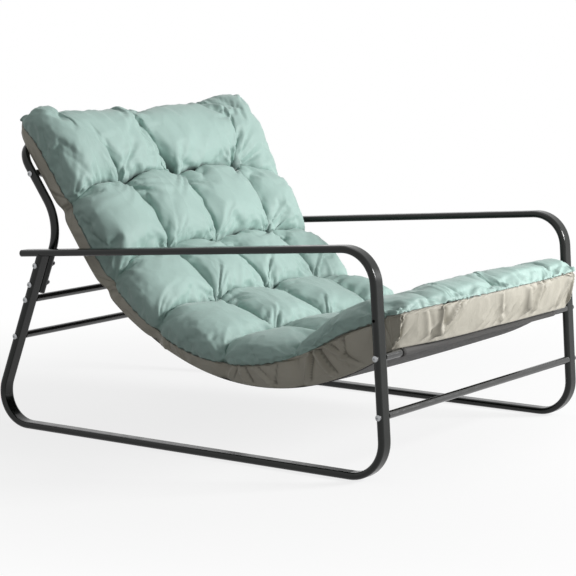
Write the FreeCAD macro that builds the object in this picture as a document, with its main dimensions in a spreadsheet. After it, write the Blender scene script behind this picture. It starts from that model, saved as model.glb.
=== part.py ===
"""Sling lounge chair: bent tube frame, fabric sling and loose tufted cushion, in millimetres.

+Z is up and the chair faces -Y. The origin is on the floor, under the middle of the whole chair.
The right side is the sitter's right, at -X; each left piece mirrors a right one.
"""
import FreeCAD
import Part
import Sketcher
import math
import os

V = FreeCAD.Vector
X_AXIS = V(1, 0, 0)
Z_AXIS = V(0, 0, 1)

# Driving dimensions. Setbacks are measured to the rear of the front bottom corner of the side frame,
# heights from the floor, and both to centre lines.
SIZES = [
    ("frame_spacing", 800, "between the centre lines of the side frames"),
    ("tube_wide", 35, "flat-oval tube across the chair"),
    ("tube_thick", 15, "flat-oval tube the other way"),
    ("tube_wall", 1.5, "wall of the flat-oval tube"),
    ("runner_span", 1046, "floor runner between its two corners"),
    ("front_leg_setback", 31, "top of the front leg"),
    ("arm_front_height", 470, "front corner of the armrest"),
    ("rear_leg_lean", 150, "top of the rear leg ahead of its bottom corner"),
    ("arm_rear_height", 399.5, "armrest over the rear leg"),
    ("arm_overhang", 54, "armrest past the rear leg"),
    ("arm_bend", 72, "bend radius between armrest and front leg"),
    ("front_bend", 75, "bend radius between front leg and runner"),
    ("rear_bend", 70, "bend radius between runner and rear leg"),
    ("back_tube", 19, "round tube of the back frame"),
    ("back_wall", 1.5, "wall of the back frame's tube"),
    ("back_bolt_drop", 28.5, "upper bolt of the back frame below the armrest"),
    ("back_bolt_pitch", 43.5, "between the two bolts of the back frame"),
    ("back_foot_drop", 18.5, "cut lower end of the back frame below its lower bolt"),
    ("back_angle", 54.5, "slope of the back, in degrees"),
    ("back_bar_offset", 52, "back sling bar behind the top of the rear leg"),
    ("back_bar_height", 570, "back sling bar"),
    ("hoop_margin", 19, "straight of the back frame above the back sling bar"),
    ("back_bend", 115, "bend radius of the back frame above the armrest"),
    ("hoop_bend", 55, "bend radius of the back frame's top corners"),
    ("bar_dia", 16, "round cross bars"),
    ("bar_wall", 1.5, "wall of the cross bars"),
    ("front_stretcher_height", 135.5, "front stretcher"),
    ("front_bar_height", 253, "front sling bar"),
    ("spare_hole_rise", 75, "unused hole in the front leg above the front sling bar"),
    ("rear_bar_drop", 16.5, "rear upper stretcher below the back frame's lower end"),
    ("rear_bar_pitch", 85, "between the two rear stretchers"),
    ("saddle_depth", 3, "how far a bar's coped end wraps its tube"),
    ("seat_gap", 0.15, "clearance between seated round pieces"),
    ("bolt_dia", 6, "bolt shank"),
    ("bolt_play", 0.3, "clearance round a shank in a tube wall"),
    ("drill_overrun", 2, "bolt hole's cutter past each side of its tube"),
    ("thread_gap", 0.08, "clearance round a shank in its thread"),
    ("head_dia", 12.5, "button head"),
    ("head_height", 3.4, "button head"),
    ("head_rim", 0.8, "straight rim of the button head"),
    ("socket_wide", 4, "hexagon socket across its flats"),
    ("socket_depth", 2, "hexagon socket"),
    ("washer_dia", 13, "saddle washer"),
    ("washer_crown", 1, "saddle washer at its thinnest"),
    ("washer_skirt", 2.5, "saddle washer down the sides of its tube"),
    ("insert_length", 25, "threaded insert in a bar's end"),
    ("insert_recess", 0.5, "insert behind the bar's seat"),
    ("bolt_grip", 18, "thread engaged in an insert"),
    ("nut_wide", 10, "cap nut across its flats"),
    ("nut_height", 5, "hexagon part of the cap nut"),
    ("nut_shell", 1.42, "wall of the cap nut's dome round its thread"),
    ("nut_bore_spare", 1.5, "bore of the cap nut past its hexagon"),
    ("cap_flange", 3, "armrest cap outside the tube"),
    ("cap_stem", 15, "armrest cap and back frame plug inside the tube"),
    ("cap_round", 1.2, "rounded edge of the armrest cap"),
    ("plug_flange", 2, "back frame plug outside the tube"),
    ("stem_gap", 0.15, "clearance round a stem in its tube"),
    ("sling_inset", 18.35, "edge of the sling from the back frame's tube"),
    ("sling_thick", 1.5, "sling fabric"),
    ("notch_width", 20, "notch at each end of the front sleeve, across the chair"),
    ("notch_depth", 30, "notch behind the front sling bar"),
    ("sleeve_opening", 60, "part of a bar that its sleeve leaves open, in degrees"),
    ("sag_radius", 552, "sling between the front sling bar and the straight of the back"),
    ("cushion_gap", 0.3, "cushion above the sling"),
    ("cushion_clear", 19.5, "seam of the cushion from the side frame"),
    ("cushion_flare", 5, "top end of the cushion wider than its seat, at each side"),
    ("cushion_tuck", 11, "underside narrower than the seam, at each side"),
    ("side_bulge", 3, "middle of the side inside the seam"),
    ("cushion_lead", 27, "underside of the cushion ahead of the front sling bar"),
    ("cushion_reach", 108, "cushion past the back sling bar"),
    ("front_lean", 8.5, "forward lean of the cushion's front face, in degrees"),
    ("front_blend", 120, "underside over which the front face turns upright"),
    ("puff_height", 122, "crown of a puff"),
    ("crown_inset", 84, "outermost crown from the seam"),
    ("shoulder_inset", 20, "shoulder of the outermost puffs from the seam"),
    ("ridge_height", 74, "crown over a row of tufts"),
    ("groove_height", 80, "groove between two columns"),
    ("tuft_height", 52, "bottom of a tuft"),
    ("side_pinch", 10, "side drawn in at a row of tufts"),
    ("side_puff", 156, "outer columns of puffs, from the seam to the tufts"),
    ("tuft_shift", 11, "columns of tufts to the left of the middle"),
    ("top_corner", 45, "rounded top corners of the cushion, in plan"),
    ("front_corner", 30, "rounded front corners of the cushion, in plan"),
    ("seam_front", 80, "seam above the underside, at the front"),
    ("seam_seat", 60, "seam above the underside, on the seat"),
    ("seam_back", 30, "seam above the underside, on the back"),
    ("core_height", 28, "joint of the two covers inside the cushion"),
]

# Rows of tufts, as shares of the cushion's underside from its top end
TUFT_ROWS = (0.163, 0.315, 0.467, 0.628, 0.788)
PUFF_ROWS = len(TUFT_ROWS) + 1

doc = FreeCAD.newDocument("sling_lounge_chair")
sheet = doc.addObject("Spreadsheet::Sheet", "Sizes")
for row, (alias, value, meaning) in enumerate(SIZES, start=1):
    sheet.set("A%d" % row, meaning)
    sheet.set("B%d" % row, str(value))
    sheet.setAlias("B%d" % row, alias)
doc.recompute()


def size(alias):
    return float(sheet.get(alias))


# Centre lines of the side frame, in the plane of the frame

runner_z = size("tube_thick") / 2
corner_front = V(0, 0, runner_z)
corner_rear = V(0, size("runner_span"), runner_z)
arm_front = V(0, size("front_leg_setback"), size("arm_front_height"))
arm_joint = V(0, size("runner_span") - size("rear_leg_lean"), size("arm_rear_height"))
front_leg = (arm_front - corner_front).normalize()
rear_leg = (arm_joint - corner_rear).normalize()
arm_run = (arm_joint - arm_front).normalize()
arm_end = arm_joint + arm_run * (size("arm_overhang") / arm_run.y)

rear_turn = math.pi / 2 + math.atan2(-rear_leg.y, rear_leg.z)
rear_tangent = size("rear_bend") * math.tan(rear_turn / 2)
rear_reach = size("runner_span") - rear_tangent + size("rear_bend") + size("tube_thick") / 2

back_slope = math.radians(size("back_angle"))
back_run = V(0, math.cos(back_slope), math.sin(back_slope))
back_normal = V(0, -math.sin(back_slope), math.cos(back_slope))


def on_leg(corner, leg, height):
    return corner + leg * ((height - corner.z) / leg.z)


spare_hole = size("front_bar_height") + size("spare_hole_rise")
front_stretcher_at = on_leg(corner_front, front_leg, size("front_stretcher_height"))
front_bar_at = on_leg(corner_front, front_leg, size("front_bar_height"))
spare_hole_at = on_leg(corner_front, front_leg, spare_hole)

# What is bolted to the rear leg, from the armrest down
bolt_high = size("arm_rear_height") - size("back_bolt_drop")
bolt_low = bolt_high - size("back_bolt_pitch")
back_foot = bolt_low - size("back_foot_drop")
rear_high = back_foot - size("rear_bar_drop")
rear_low = rear_high - size("rear_bar_pitch")
bolt_high_at = on_leg(corner_rear, rear_leg, bolt_high)
bolt_low_at = on_leg(corner_rear, rear_leg, bolt_low)
back_foot_at = on_leg(corner_rear, rear_leg, back_foot)
rear_high_at = on_leg(corner_rear, rear_leg, rear_high)
rear_low_at = on_leg(corner_rear, rear_leg, rear_low)
back_bar_at = V(0, arm_joint.y + size("back_bar_offset"), size("back_bar_height"))

# The front face of the cushion reaches furthest forward at its seam.
front_lean = math.radians(size("front_lean"))
cushion_front = front_bar_at.y - size("cushion_lead") - size("seam_front") * math.sin(front_lean)
origin = V(0, (cushion_front + rear_reach) / 2, 0)

# Places across the chair, on the right side
frame_x = -size("frame_spacing") / 2
leg_outer_x = frame_x - size("tube_wide") / 2
leg_inner_x = frame_x + size("tube_wide") / 2
back_outer_x = leg_inner_x + size("seat_gap")
back_x = back_outer_x + size("back_tube") / 2
back_inner_x = back_outer_x + size("back_tube")
edge_axis_x = leg_inner_x - size("tube_thick") / 2

ALONG_X = FreeCAD.Rotation(Z_AXIS, X_AXIS)
AGAINST_X = FreeCAD.Rotation(Z_AXIS, X_AXIS * -1)

# Width and radius that a sketch is drawn with before its sizes are bound
SEED_HALF = 10.0
SEED_RADIUS = 5.0
# Points nearer than this are one point.
TOUCH = 1e-6
# Length of a cope's round cutter, in diameters of what it cuts
COPE_REACH = 3
# Ends of the rear leg's tube and of its bore below the armrest's centre line, in tube thicknesses
LEG_TOP = 0.25
LEG_BORE_TOP = 0.8


def across(x, point):
    """A point of a side view, placed at x in the chair's own frame."""
    return V(x, point.y, point.z) - origin


# Helpers for document objects


def add(kind, label, **values):
    made = doc.addObject(kind, label)
    made.Label = label
    for name, value in values.items():
        setattr(made, name, value)
    return made


def bound(made, **expressions):
    for name, expression in expressions.items():
        made.setExpression(name, expression)
    return made


def cylinder(label, radius, height, placement=None):
    made = bound(add("Part::Cylinder", label), Radius=radius, Height=height)
    if placement:
        made.Placement = placement
    return made


def joined(kind, label, shapes):
    return add(kind, label, Shapes=shapes)


def cut(label, base, tool):
    return add("Part::Cut", label, Base=base, Tool=tool)


def mirrored(label, source):
    return add("Part::Mirroring", label, Source=source, Base=V(0, 0, 0), Normal=X_AXIS)


def pair(label, right):
    """Two like pieces, one on each side of the chair, as one group."""
    return add("Part::Compound", label, Links=[right, mirrored(label + "_far", right)])


def moved_across(label, right):
    """The left one of two pieces that are symmetrical about their own middle plane."""
    left = add("Part::Compound", label, Links=[right])
    return bound(left, **{"Placement.Base.x": "Sizes.frame_spacing"})


def rounded_path(label, points, radii):
    """Straight runs between the points, joined by tangent arcs of the given radii."""
    edges = []
    start = points[0]
    for before, corner, after, radius in zip(points, points[1:], points[2:], radii):
        back = (before - corner).normalize()
        ahead = (after - corner).normalize()
        half = back.getAngle(ahead) / 2
        bisector = (back + ahead).normalize()
        arc_start = corner + back * (radius / math.tan(half))
        arc_end = corner + ahead * (radius / math.tan(half))
        arc_middle = corner + bisector * (radius / math.sin(half) - radius)
        edges.append(Part.LineSegment(start, arc_start).toShape())
        edges.append(Part.Arc(arc_start, arc_middle, arc_end).toShape())
        start = arc_end
    edges.append(Part.LineSegment(start, points[-1]).toShape())
    return add("Part::Feature", label, Shape=Part.Wire(edges))


def facing(at, direction):
    """Placement whose Z runs along a direction of the side view, with X across the chair."""
    side = direction.cross(X_AXIS)
    return FreeCAD.Placement(at, FreeCAD.Rotation(X_AXIS, side, direction, "ZXY"))


def oval(sketch, wide, thick):
    """Flat-oval outline about the sketch's origin, with its long way along the sketch's X."""
    half = SEED_HALF
    radius = SEED_RADIUS
    circle_right = Part.Circle(V(half, 0, 0), Z_AXIS, radius)
    circle_left = Part.Circle(V(-half, 0, 0), Z_AXIS, radius)
    quarter = math.pi / 2
    top = sketch.addGeometry(Part.LineSegment(V(half, radius, 0), V(-half, radius, 0)))
    left = sketch.addGeometry(Part.ArcOfCircle(circle_left, quarter, 3 * quarter))
    low = sketch.addGeometry(Part.LineSegment(V(-half, -radius, 0), V(half, -radius, 0)))
    right = sketch.addGeometry(Part.ArcOfCircle(circle_right, -quarter, quarter))
    for first, second in ((top, left), (left, low), (low, right), (right, top)):
        sketch.addConstraint(Sketcher.Constraint("Tangent", first, 2, second, 1))
    sketch.addConstraint(Sketcher.Constraint("Horizontal", top))
    sketch.addConstraint(Sketcher.Constraint("Horizontal", low))
    sketch.addConstraint(Sketcher.Constraint("Symmetric", left, 3, right, 3, -1, 1))
    rule = sketch.addConstraint(Sketcher.Constraint("Radius", right, radius))
    sketch.setExpression("Constraints[%d]" % rule, "(%s) / 2" % thick)
    rule = sketch.addConstraint(Sketcher.Constraint("DistanceX", left, 3, right, 3, 2 * half))
    sketch.setExpression("Constraints[%d]" % rule, "%s - (%s)" % (wide, thick))


def ring(sketch, *diameters):
    for diameter in diameters:
        hoop = sketch.addGeometry(Part.Circle(V(0, 0, 0), Z_AXIS, SEED_RADIUS))
        sketch.addConstraint(Sketcher.Constraint("Coincident", hoop, 3, -1, 1))
        rule = sketch.addConstraint(Sketcher.Constraint("Diameter", hoop, 2 * SEED_RADIUS))
        sketch.setExpression("Constraints[%d]" % rule, diameter)


def body_sketch(body, label, role="XY_Plane"):
    plane = next(item for item in body.Origin.OriginFeatures if item.Role == role)
    sketch = body.newObject("Sketcher::SketchObject", label)
    sketch.AttachmentSupport = [(plane, "")]
    sketch.MapMode = "FlatFace"
    return sketch


def pad(body, label, profile, length, middle=False, reverse=False):
    made = body.newObject("PartDesign::Pad", label)
    made.Profile = profile
    made.setExpression("Length", length)
    if middle:
        made.Midplane = True
    made.Reversed = reverse
    return made


def swept(label, section, path):
    edges = ["Edge%d" % (index + 1) for index in range(len(path.Shape.Edges))]
    return add("Part::Sweep", label, Sections=[section], Spine=(path, edges), Solid=True, Frenet=False)


# Expressions that several pieces share
TUBE_BORE = ("Sizes.tube_wide - 2 * Sizes.tube_wall", "Sizes.tube_thick - 2 * Sizes.tube_wall")
BACK_BORE = "Sizes.back_tube - 2 * Sizes.back_wall"
BAR_BORE = "Sizes.bar_dia - 2 * Sizes.bar_wall"
BOLT_HOLE = "Sizes.bolt_dia / 2 + Sizes.bolt_play"
THREAD = "Sizes.bolt_dia / 2 + Sizes.thread_gap"


# Side frames


def oval_tube(label, points, radii):
    """Outer skin and bore of one bent flat-oval stretch, as two solids."""
    made = []
    outlines = (("skin", "Sizes.tube_wide", "Sizes.tube_thick"), ("bore",) + TUBE_BORE)
    path = rounded_path(label + "_path", points, radii)
    for part, wide, thick in outlines:
        sketch = add("Sketcher::SketchObject", "%s_%s_outline" % (label, part))
        oval(sketch, wide, thick)
        sketch.Placement = facing(points[0], (points[1] - points[0]).normalize())
        made.append(swept("%s_%s" % (label, part), sketch, path))
    return made


def leg_hole(label, at):
    place = FreeCAD.Placement(across(leg_outer_x - size("drill_overrun"), at), ALONG_X)
    return cylinder(label, BOLT_HOLE, "Sizes.tube_wide + 2 * Sizes.drill_overrun", place)


def side_frame():
    middle = (corner_front + corner_rear) * 0.5
    # The leg's top stops inside the armrest, and its bore stops at the armrest's underside.
    leg_top = arm_joint - rear_leg * (size("tube_thick") * LEG_TOP)
    bore_top = arm_joint - rear_leg * (size("tube_thick") * LEG_BORE_TOP)
    place = [across(frame_x, point) for point in
             (arm_end, arm_front, corner_front, middle, corner_rear, leg_top, bore_top)]
    front_bends = (size("arm_bend"), size("front_bend"))
    front_skin, front_bore = oval_tube("side_front", place[0:4], front_bends)
    rear_skin = oval_tube("side_rear", place[3:6], (size("rear_bend"),))[0]
    rear_bore = oval_tube("side_leg", place[3:5] + place[6:7], (size("rear_bend"),))[1]
    skin = joined("Part::MultiFuse", "side_skin", [front_skin, rear_skin])
    skin.Refine = True
    holes = [leg_hole("side_hole_%d" % index, at) for index, at in enumerate(
        (front_stretcher_at, front_bar_at, spare_hole_at, rear_low_at, rear_high_at,
         bolt_low_at, bolt_high_at))]
    hollow = joined("Part::MultiFuse", "side_hollow", [front_bore, rear_bore] + holes)
    right = cut("right_side_frame", skin, hollow)
    return [right, moved_across("left_side_frame", right)]


def armrest_caps():
    right = add("PartDesign::Body", "right_armrest_cap")
    flange = body_sketch(right, "cap_flange_outline")
    oval(flange, "Sizes.tube_wide", "Sizes.tube_thick")
    pad(right, "cap_flange_pad", flange, "Sizes.cap_flange")
    doc.recompute()
    rim = body_sketch(right, "cap_stem_outline")
    oval(rim, TUBE_BORE[0] + " - 2 * Sizes.stem_gap", TUBE_BORE[1] + " - 2 * Sizes.stem_gap")
    stem = pad(right, "cap_stem_pad", rim, "Sizes.cap_stem", reverse=True)
    doc.recompute()
    top = max(stem.Shape.Faces, key=lambda face: face.CenterOfMass.z)
    outer = ["Edge%d" % (index + 1) for index, edge in enumerate(stem.Shape.Edges)
             if all(abs(corner.Z - top.CenterOfMass.z) < TOUCH for corner in edge.Vertexes)]
    dome = right.newObject("PartDesign::Fillet", "cap_dome")
    dome.Base = (stem, outer)
    dome.setExpression("Radius", "Sizes.cap_round")
    right.Placement = facing(across(frame_x, arm_end), arm_run)
    return [right, mirrored("left_armrest_cap", right)]


# Back frame


def back_frame():
    top = back_bar_at + back_run * (size("hoop_bend") + size("hoop_margin"))
    # The crank is where the line of the leg meets the line of the back.
    offset = back_bar_at - back_foot_at
    along = offset.dot(back_normal) / rear_leg.dot(back_normal)
    crank = back_foot_at + rear_leg * along
    near = [across(back_x, point) for point in (back_foot_at, crank, top)]
    far = [across(-back_x, point) for point in (top, crank, back_foot_at)]
    bends = [size(name) for name in ("back_bend", "hoop_bend", "hoop_bend", "back_bend")]
    path = rounded_path("back_path", near + far, bends)
    solids = []
    for part, diameter in (("skin", "Sizes.back_tube"), ("bore", BACK_BORE)):
        sketch = add("Sketcher::SketchObject", "back_%s_outline" % part)
        ring(sketch, diameter)
        sketch.Placement = facing(near[0], rear_leg)
        solids.append(swept("back_" + part, sketch, path))
    holes = []
    for index, at in enumerate((bolt_low_at, bolt_high_at, back_bar_at)):
        place = FreeCAD.Placement(across(back_outer_x - size("drill_overrun"), at), ALONG_X)
        hole = cylinder("back_hole_%d" % index, BOLT_HOLE, "Sizes.back_tube + 2 * Sizes.drill_overrun", place)
        holes += [hole, mirrored("back_hole_far_%d" % index, hole)]
    hollow = joined("Part::MultiFuse", "back_hollow", [solids[1]] + holes)
    frame = cut("back_frame", solids[0], hollow)

    right = add("PartDesign::Body", "right_back_frame_plug")
    flange = body_sketch(right, "plug_flange_outline")
    ring(flange, "Sizes.back_tube")
    pad(right, "plug_flange_pad", flange, "Sizes.plug_flange", reverse=True)
    doc.recompute()
    rim = body_sketch(right, "plug_stem_outline")
    ring(rim, BACK_BORE + " - 2 * Sizes.stem_gap")
    pad(right, "plug_stem_pad", rim, "Sizes.cap_stem")
    right.Placement = facing(near[0], rear_leg)
    return [frame, right, mirrored("left_back_frame_plug", right)]


# Fasteners, built along their own Z from the seat of the head or nut


def bolt(label, length):
    shank = cylinder(label + "_shank", "Sizes.bolt_dia / 2", length)
    head = cylinder(label + "_head", "Sizes.head_dia / 2", "Sizes.head_height")
    head.setExpression("Placement.Base.z", "-Sizes.head_height")
    rise = size("head_height") - size("head_rim")
    dome_radius = ((size("head_dia") / 2) ** 2 + rise ** 2) / (2 * rise)
    dome = add("Part::Sphere", label + "_dome", Radius=dome_radius)
    dome.Placement.Base = V(0, 0, dome_radius - size("head_height"))
    button = add("Part::Common", label + "_button", Base=head, Tool=dome)
    socket = add("Part::Prism", label + "_socket", Polygon=6)
    bound(socket, Circumradius="Sizes.socket_wide / sqrt(3)", Height="Sizes.socket_depth")
    socket.setExpression("Placement.Base.z", "-Sizes.head_height")
    whole = joined("Part::MultiFuse", label + "_blank", [button, shank])
    return cut(label, whole, socket)


def saddle_washer(label, tube_radius, axis):
    """Disc seated on a round edge of the given radius, whose line runs along the given axis."""
    height = "Sizes.washer_crown + Sizes.washer_skirt"
    disc = cylinder(label + "_disc", "Sizes.washer_dia / 2", height)
    disc.setExpression("Placement.Base.z", "-Sizes.washer_crown")
    long_way = size("washer_dia") * COPE_REACH
    local = ALONG_X.inverted().multVec(axis)
    radius = tube_radius + size("seat_gap")
    edge = add("Part::Cylinder", label + "_edge", Radius=radius, Height=long_way)
    start = V(0, 0, radius) - local * (long_way / 2)
    edge.Placement = FreeCAD.Placement(start, FreeCAD.Rotation(Z_AXIS, local))
    hole = cylinder(label + "_hole", BOLT_HOLE, height)
    hole.setExpression("Placement.Base.z", "-Sizes.washer_crown")
    return cut(label, disc, joined("Part::MultiFuse", label + "_hollow", [edge, hole]))


def cap_nut(label):
    prism = add("Part::Prism", label + "_prism", Polygon=6)
    bound(prism, Circumradius="Sizes.nut_wide / sqrt(3)", Height="Sizes.nut_height")
    dome = bound(add("Part::Sphere", label + "_dome"), Radius=THREAD + " + Sizes.nut_shell")
    dome.setExpression("Placement.Base.z", "Sizes.nut_height")
    blank = joined("Part::MultiFuse", label + "_blank", [prism, dome])
    depth = "Sizes.nut_height + Sizes.nut_bore_spare"
    return cut(label, blank, cylinder(label + "_bore", THREAD, depth))


def insert(label):
    blank = cylinder(label + "_blank", "(%s) / 2 - Sizes.thread_gap" % BAR_BORE, "Sizes.insert_length")
    thread = cylinder(label + "_thread", THREAD, "Sizes.insert_length")
    return cut(label, blank, thread)


# Cross bars


def cross_bar(label, at, face_x, edge_x, edge_radius, axis, through):
    """Round bar between two upright tubes, with its inserts, bolts and washers.

    face_x is where the upright's face meets the bar on the right side, edge_x the axis of the round
    edge that the bar's end is coped to, and through the upright's width under the bolt's head.
    """
    body = add("PartDesign::Body", label + "_blank")
    sketch = body_sketch(body, label + "_outline", "YZ_Plane")
    ring(sketch, "Sizes.bar_dia", BAR_BORE)
    span = "%s + 2 * Sizes.saddle_depth" % (-2 * face_x)
    pad(body, label + "_pad", sketch, span, middle=True)
    body.Placement.Base = across(0, at)
    long_way = size("bar_dia") * COPE_REACH
    radius = edge_radius + size("seat_gap")
    cope = add("Part::Cylinder", label + "_cope", Radius=radius, Height=long_way)
    start = across(edge_x, at) - axis * (long_way / 2)
    cope.Placement = FreeCAD.Placement(start, FreeCAD.Rotation(Z_AXIS, axis))
    copes = joined("Part::MultiFuse", label + "_copes", [cope, mirrored(label + "_cope_far", cope)])
    bar = cut(label, body, copes)

    plug = insert(label + "_insert")
    depth = size("seat_gap") + size("insert_recess")
    plug.Placement = FreeCAD.Placement(across(face_x + depth, at), ALONG_X)
    washer = saddle_washer(label + "_washer", edge_radius, axis)
    outer_x = face_x - size(through)
    washer.Placement = FreeCAD.Placement(across(outer_x - size("seat_gap"), at), ALONG_X)
    length = ("Sizes.washer_crown + 2 * Sizes.seat_gap + Sizes.%s + Sizes.insert_recess"
              " + Sizes.bolt_grip" % through)
    screw = bolt(label + "_bolt", length)
    seat_x = outer_x - size("seat_gap") - size("washer_crown")
    screw.Placement = FreeCAD.Placement(across(seat_x, at), ALONG_X)
    pairs = (("inserts", plug), ("washers", washer), ("bolts", screw))
    return [bar] + [pair("%s_%s" % (label, name), piece) for name, piece in pairs]


def cross_bars():
    made = []
    oval_edge = size("tube_thick") / 2
    on_frame = (
        ("front_sling_bar", front_bar_at, front_leg),
        ("front_stretcher", front_stretcher_at, front_leg),
        ("rear_upper_stretcher", rear_high_at, rear_leg),
        ("rear_lower_stretcher", rear_low_at, rear_leg),
    )
    for label, at, leg in on_frame:
        made += cross_bar(label, at, leg_inner_x, edge_axis_x, oval_edge, leg, "tube_wide")
    made += cross_bar("back_sling_bar", back_bar_at, back_inner_x, back_x, size("back_tube") / 2, back_run,
                      "back_tube")
    return made


def back_frame_bolts():
    """Two bolts through each rear leg and the back frame beside it, with washers and cap nuts."""
    groups = {"bolts": [], "head_washers": [], "nut_washers": [], "nuts": []}
    length = ("2 * Sizes.washer_crown + 3 * Sizes.seat_gap + Sizes.tube_wide + Sizes.back_tube"
              " + Sizes.nut_height")
    outer_x = leg_outer_x - size("seat_gap")
    inner_x = back_inner_x + size("seat_gap")
    # Washers under the nuts face the other way.
    flipped = V(0, rear_leg.y, -rear_leg.z)
    for name, at in (("low", bolt_low_at), ("high", bolt_high_at)):
        screw = bolt("back_frame_bolt_" + name, length)
        screw.Placement = FreeCAD.Placement(across(outer_x - size("washer_crown"), at), ALONG_X)
        head_side = saddle_washer("back_frame_head_washer_" + name, size("tube_thick") / 2, rear_leg)
        head_side.Placement = FreeCAD.Placement(across(outer_x, at), ALONG_X)
        nut_side = saddle_washer("back_frame_nut_washer_" + name, size("back_tube") / 2, flipped)
        nut_side.Placement = FreeCAD.Placement(across(inner_x, at), AGAINST_X)
        nut = cap_nut("back_frame_nut_" + name)
        nut.Placement = FreeCAD.Placement(across(inner_x + size("washer_crown"), at), ALONG_X)
        for group, piece in zip(groups.values(), (screw, head_side, nut_side, nut)):
            group.append(piece)
    made = []
    for name, pieces in groups.items():
        right = add("Part::Compound", "right_back_frame_" + name, Links=pieces)
        made += [right, mirrored("left_back_frame_" + name, right)]
    return made


# The sling's curve in the side view: one slack arc and a straight run up the back, tangent to each
# other and to the sleeves round both bars.

sleeve_radius = size("bar_dia") / 2 + size("seat_gap") + size("sling_thick") / 2
back_touch = back_bar_at + back_normal * sleeve_radius
to_centre = back_touch + back_normal * size("sag_radius") - front_bar_at
centre_along = to_centre.dot(back_run)
centre_off = to_centre.dot(back_normal)
centre_reach = size("sag_radius") + sleeve_radius
back_straight = centre_along - math.sqrt(centre_reach ** 2 - centre_off ** 2)
sag_centre = back_touch - back_run * back_straight + back_normal * size("sag_radius")
front_spoke = (front_bar_at - sag_centre).normalize()
front_slope = math.atan2(-front_spoke.y, -front_spoke.z)
sag_start = math.atan2(front_spoke.z, front_spoke.y)
sag_end = math.atan2(-back_normal.z, -back_normal.y)


def arc_about(centre, radius, start, end):
    """Arc in the side view through angles start to end, in radians from +Y towards +Z."""
    points = [centre + V(0, math.cos(angle), math.sin(angle)) * radius
              for angle in (start, (start + end) / 2, end)]
    return [V(point.y - origin.y, point.z, 0) for point in points]


def sling_edge(offset):
    """One face of the sling, as arcs and a line from the front sleeve's end to the back one's."""
    turn = 2 * math.pi - math.radians(size("sleeve_opening"))
    front_angle = math.atan2(-front_spoke.z, -front_spoke.y)
    back_angle = math.atan2(back_normal.z, back_normal.y)
    front_sleeve = arc_about(front_bar_at, sleeve_radius + offset, front_angle + turn, front_angle)
    sag = arc_about(sag_centre, size("sag_radius") - offset, sag_start, sag_end)
    back_sleeve = arc_about(back_bar_at, sleeve_radius + offset, back_angle, back_angle - turn)
    return [front_sleeve, sag, (sag[-1], back_sleeve[0]), back_sleeve]


def sling():
    half = size("sling_thick") / 2
    body = add("PartDesign::Body", "sling_blank")
    sketch = body_sketch(body, "sling_outline", "YZ_Plane")
    ends = []
    for offset in (half, -half):
        stretches = sling_edge(offset)
        for points in stretches:
            curve = Part.Arc(*points) if len(points) == 3 else Part.LineSegment(*points)
            sketch.addGeometry(curve)
        ends.append((stretches[0][0], stretches[-1][-1]))
    for first, second in zip(*ends):
        sketch.addGeometry(Part.LineSegment(first, second))
    pad(body, "sling_pad", sketch, "Sizes.frame_spacing - Sizes.tube_wide - 2 * Sizes.seat_gap"
        " - 2 * Sizes.back_tube - 2 * Sizes.sling_inset", middle=True)
    notch = add("Part::Box", "sling_notch")
    bound(notch, Length="Sizes.notch_width", Width="2 * Sizes.notch_depth", Height="2 * Sizes.notch_depth")
    corner = front_bar_at - V(0, size("notch_depth"), size("notch_depth"))
    notch.Placement.Base = across(back_inner_x + size("sling_inset"), corner)
    notches = joined("Part::MultiFuse", "sling_notches", [notch, mirrored("sling_notch_far", notch)])
    return [cut("sling", body, notches)]


# The cushion's underside follows the sling, from its top end to its front end.

# Stations along a puff, from one row of tufts to the next, and near the cushion's free ends
PUFF_STEPS = (0.0, 0.12, 0.3, 0.5, 0.7, 0.88)
END_STEPS = (0.0, 0.05)
END_ROUND = 0.3
TOP_FULLNESS = 0.5
FRONT_FULLNESS = 0.55
SWELL_POWER = 0.4
HALF_PUFF = 0.5
# The seam climbs from the back to the seat, and the flare ends, between these rows.
SEAM_CLIMB = (1.7, 2.5)
FLARE_ROWS = (0.6, 1.6)
# How much of a groove fills up towards the cushion's two ends
GROOVE_FADE = 0.65
# Shoulder of the outermost puffs, as a share of the way from the seam up to their crown
SHOULDER_RISE = 0.84
# Swell of the edge from the seam to the shoulder, as a share of its chord, and where it is largest
EDGE_ROUND = 0.32
EDGE_MIDDLE = 0.5

seam_half = -leg_inner_x - size("cushion_clear")


def underside():
    """Stretches of the underside, as (length, function of the distance giving point and up)."""
    rest_gap = size("sling_thick") / 2 + size("cushion_gap")
    rest_radius = sleeve_radius + rest_gap
    sag_radius = size("sag_radius") - rest_gap
    back_top = back_touch + back_run * size("cushion_reach") + back_normal * rest_gap
    knee = rest_radius * math.tan(front_slope / 2)
    knee_at = V(0, front_bar_at.y + knee, front_bar_at.z + rest_radius)

    def up_back(distance):
        return back_top - back_run * distance, back_normal

    def round_sag(distance):
        angle = sag_end - distance / sag_radius
        spoke = V(0, math.cos(angle), math.sin(angle))
        return sag_centre + spoke * sag_radius, spoke * -1

    def over_bar(distance):
        return knee_at - V(0, distance, 0), Z_AXIS

    return [
        (size("cushion_reach") + back_straight, up_back),
        (sag_radius * (sag_end - sag_start), round_sag),
        (size("cushion_lead") + knee, over_bar),
    ]


def station_at(stretches, distance):
    for length, locate in stretches[:-1]:
        if distance < length - TOUCH:
            return locate(distance)
        distance -= length
    return stretches[-1][1](distance)


def mix(low, high, share):
    return low + (high - low) * share


def share_of(value, low, high):
    return min(1.0, max(0.0, (value - low) / (high - low)))


def puff_ends(total):
    """Distances along the underside where puffs end: its top end, the rows of tufts and its front end."""
    return [share * total for share in (0.0, *TUFT_ROWS, 1.0)]


def distance_at(ends, phase):
    """Distance from the top end of a place counted in puffs."""
    puff = min(int(phase), PUFF_ROWS - 1)
    return mix(ends[puff], ends[puff + 1], phase - puff)


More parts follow.
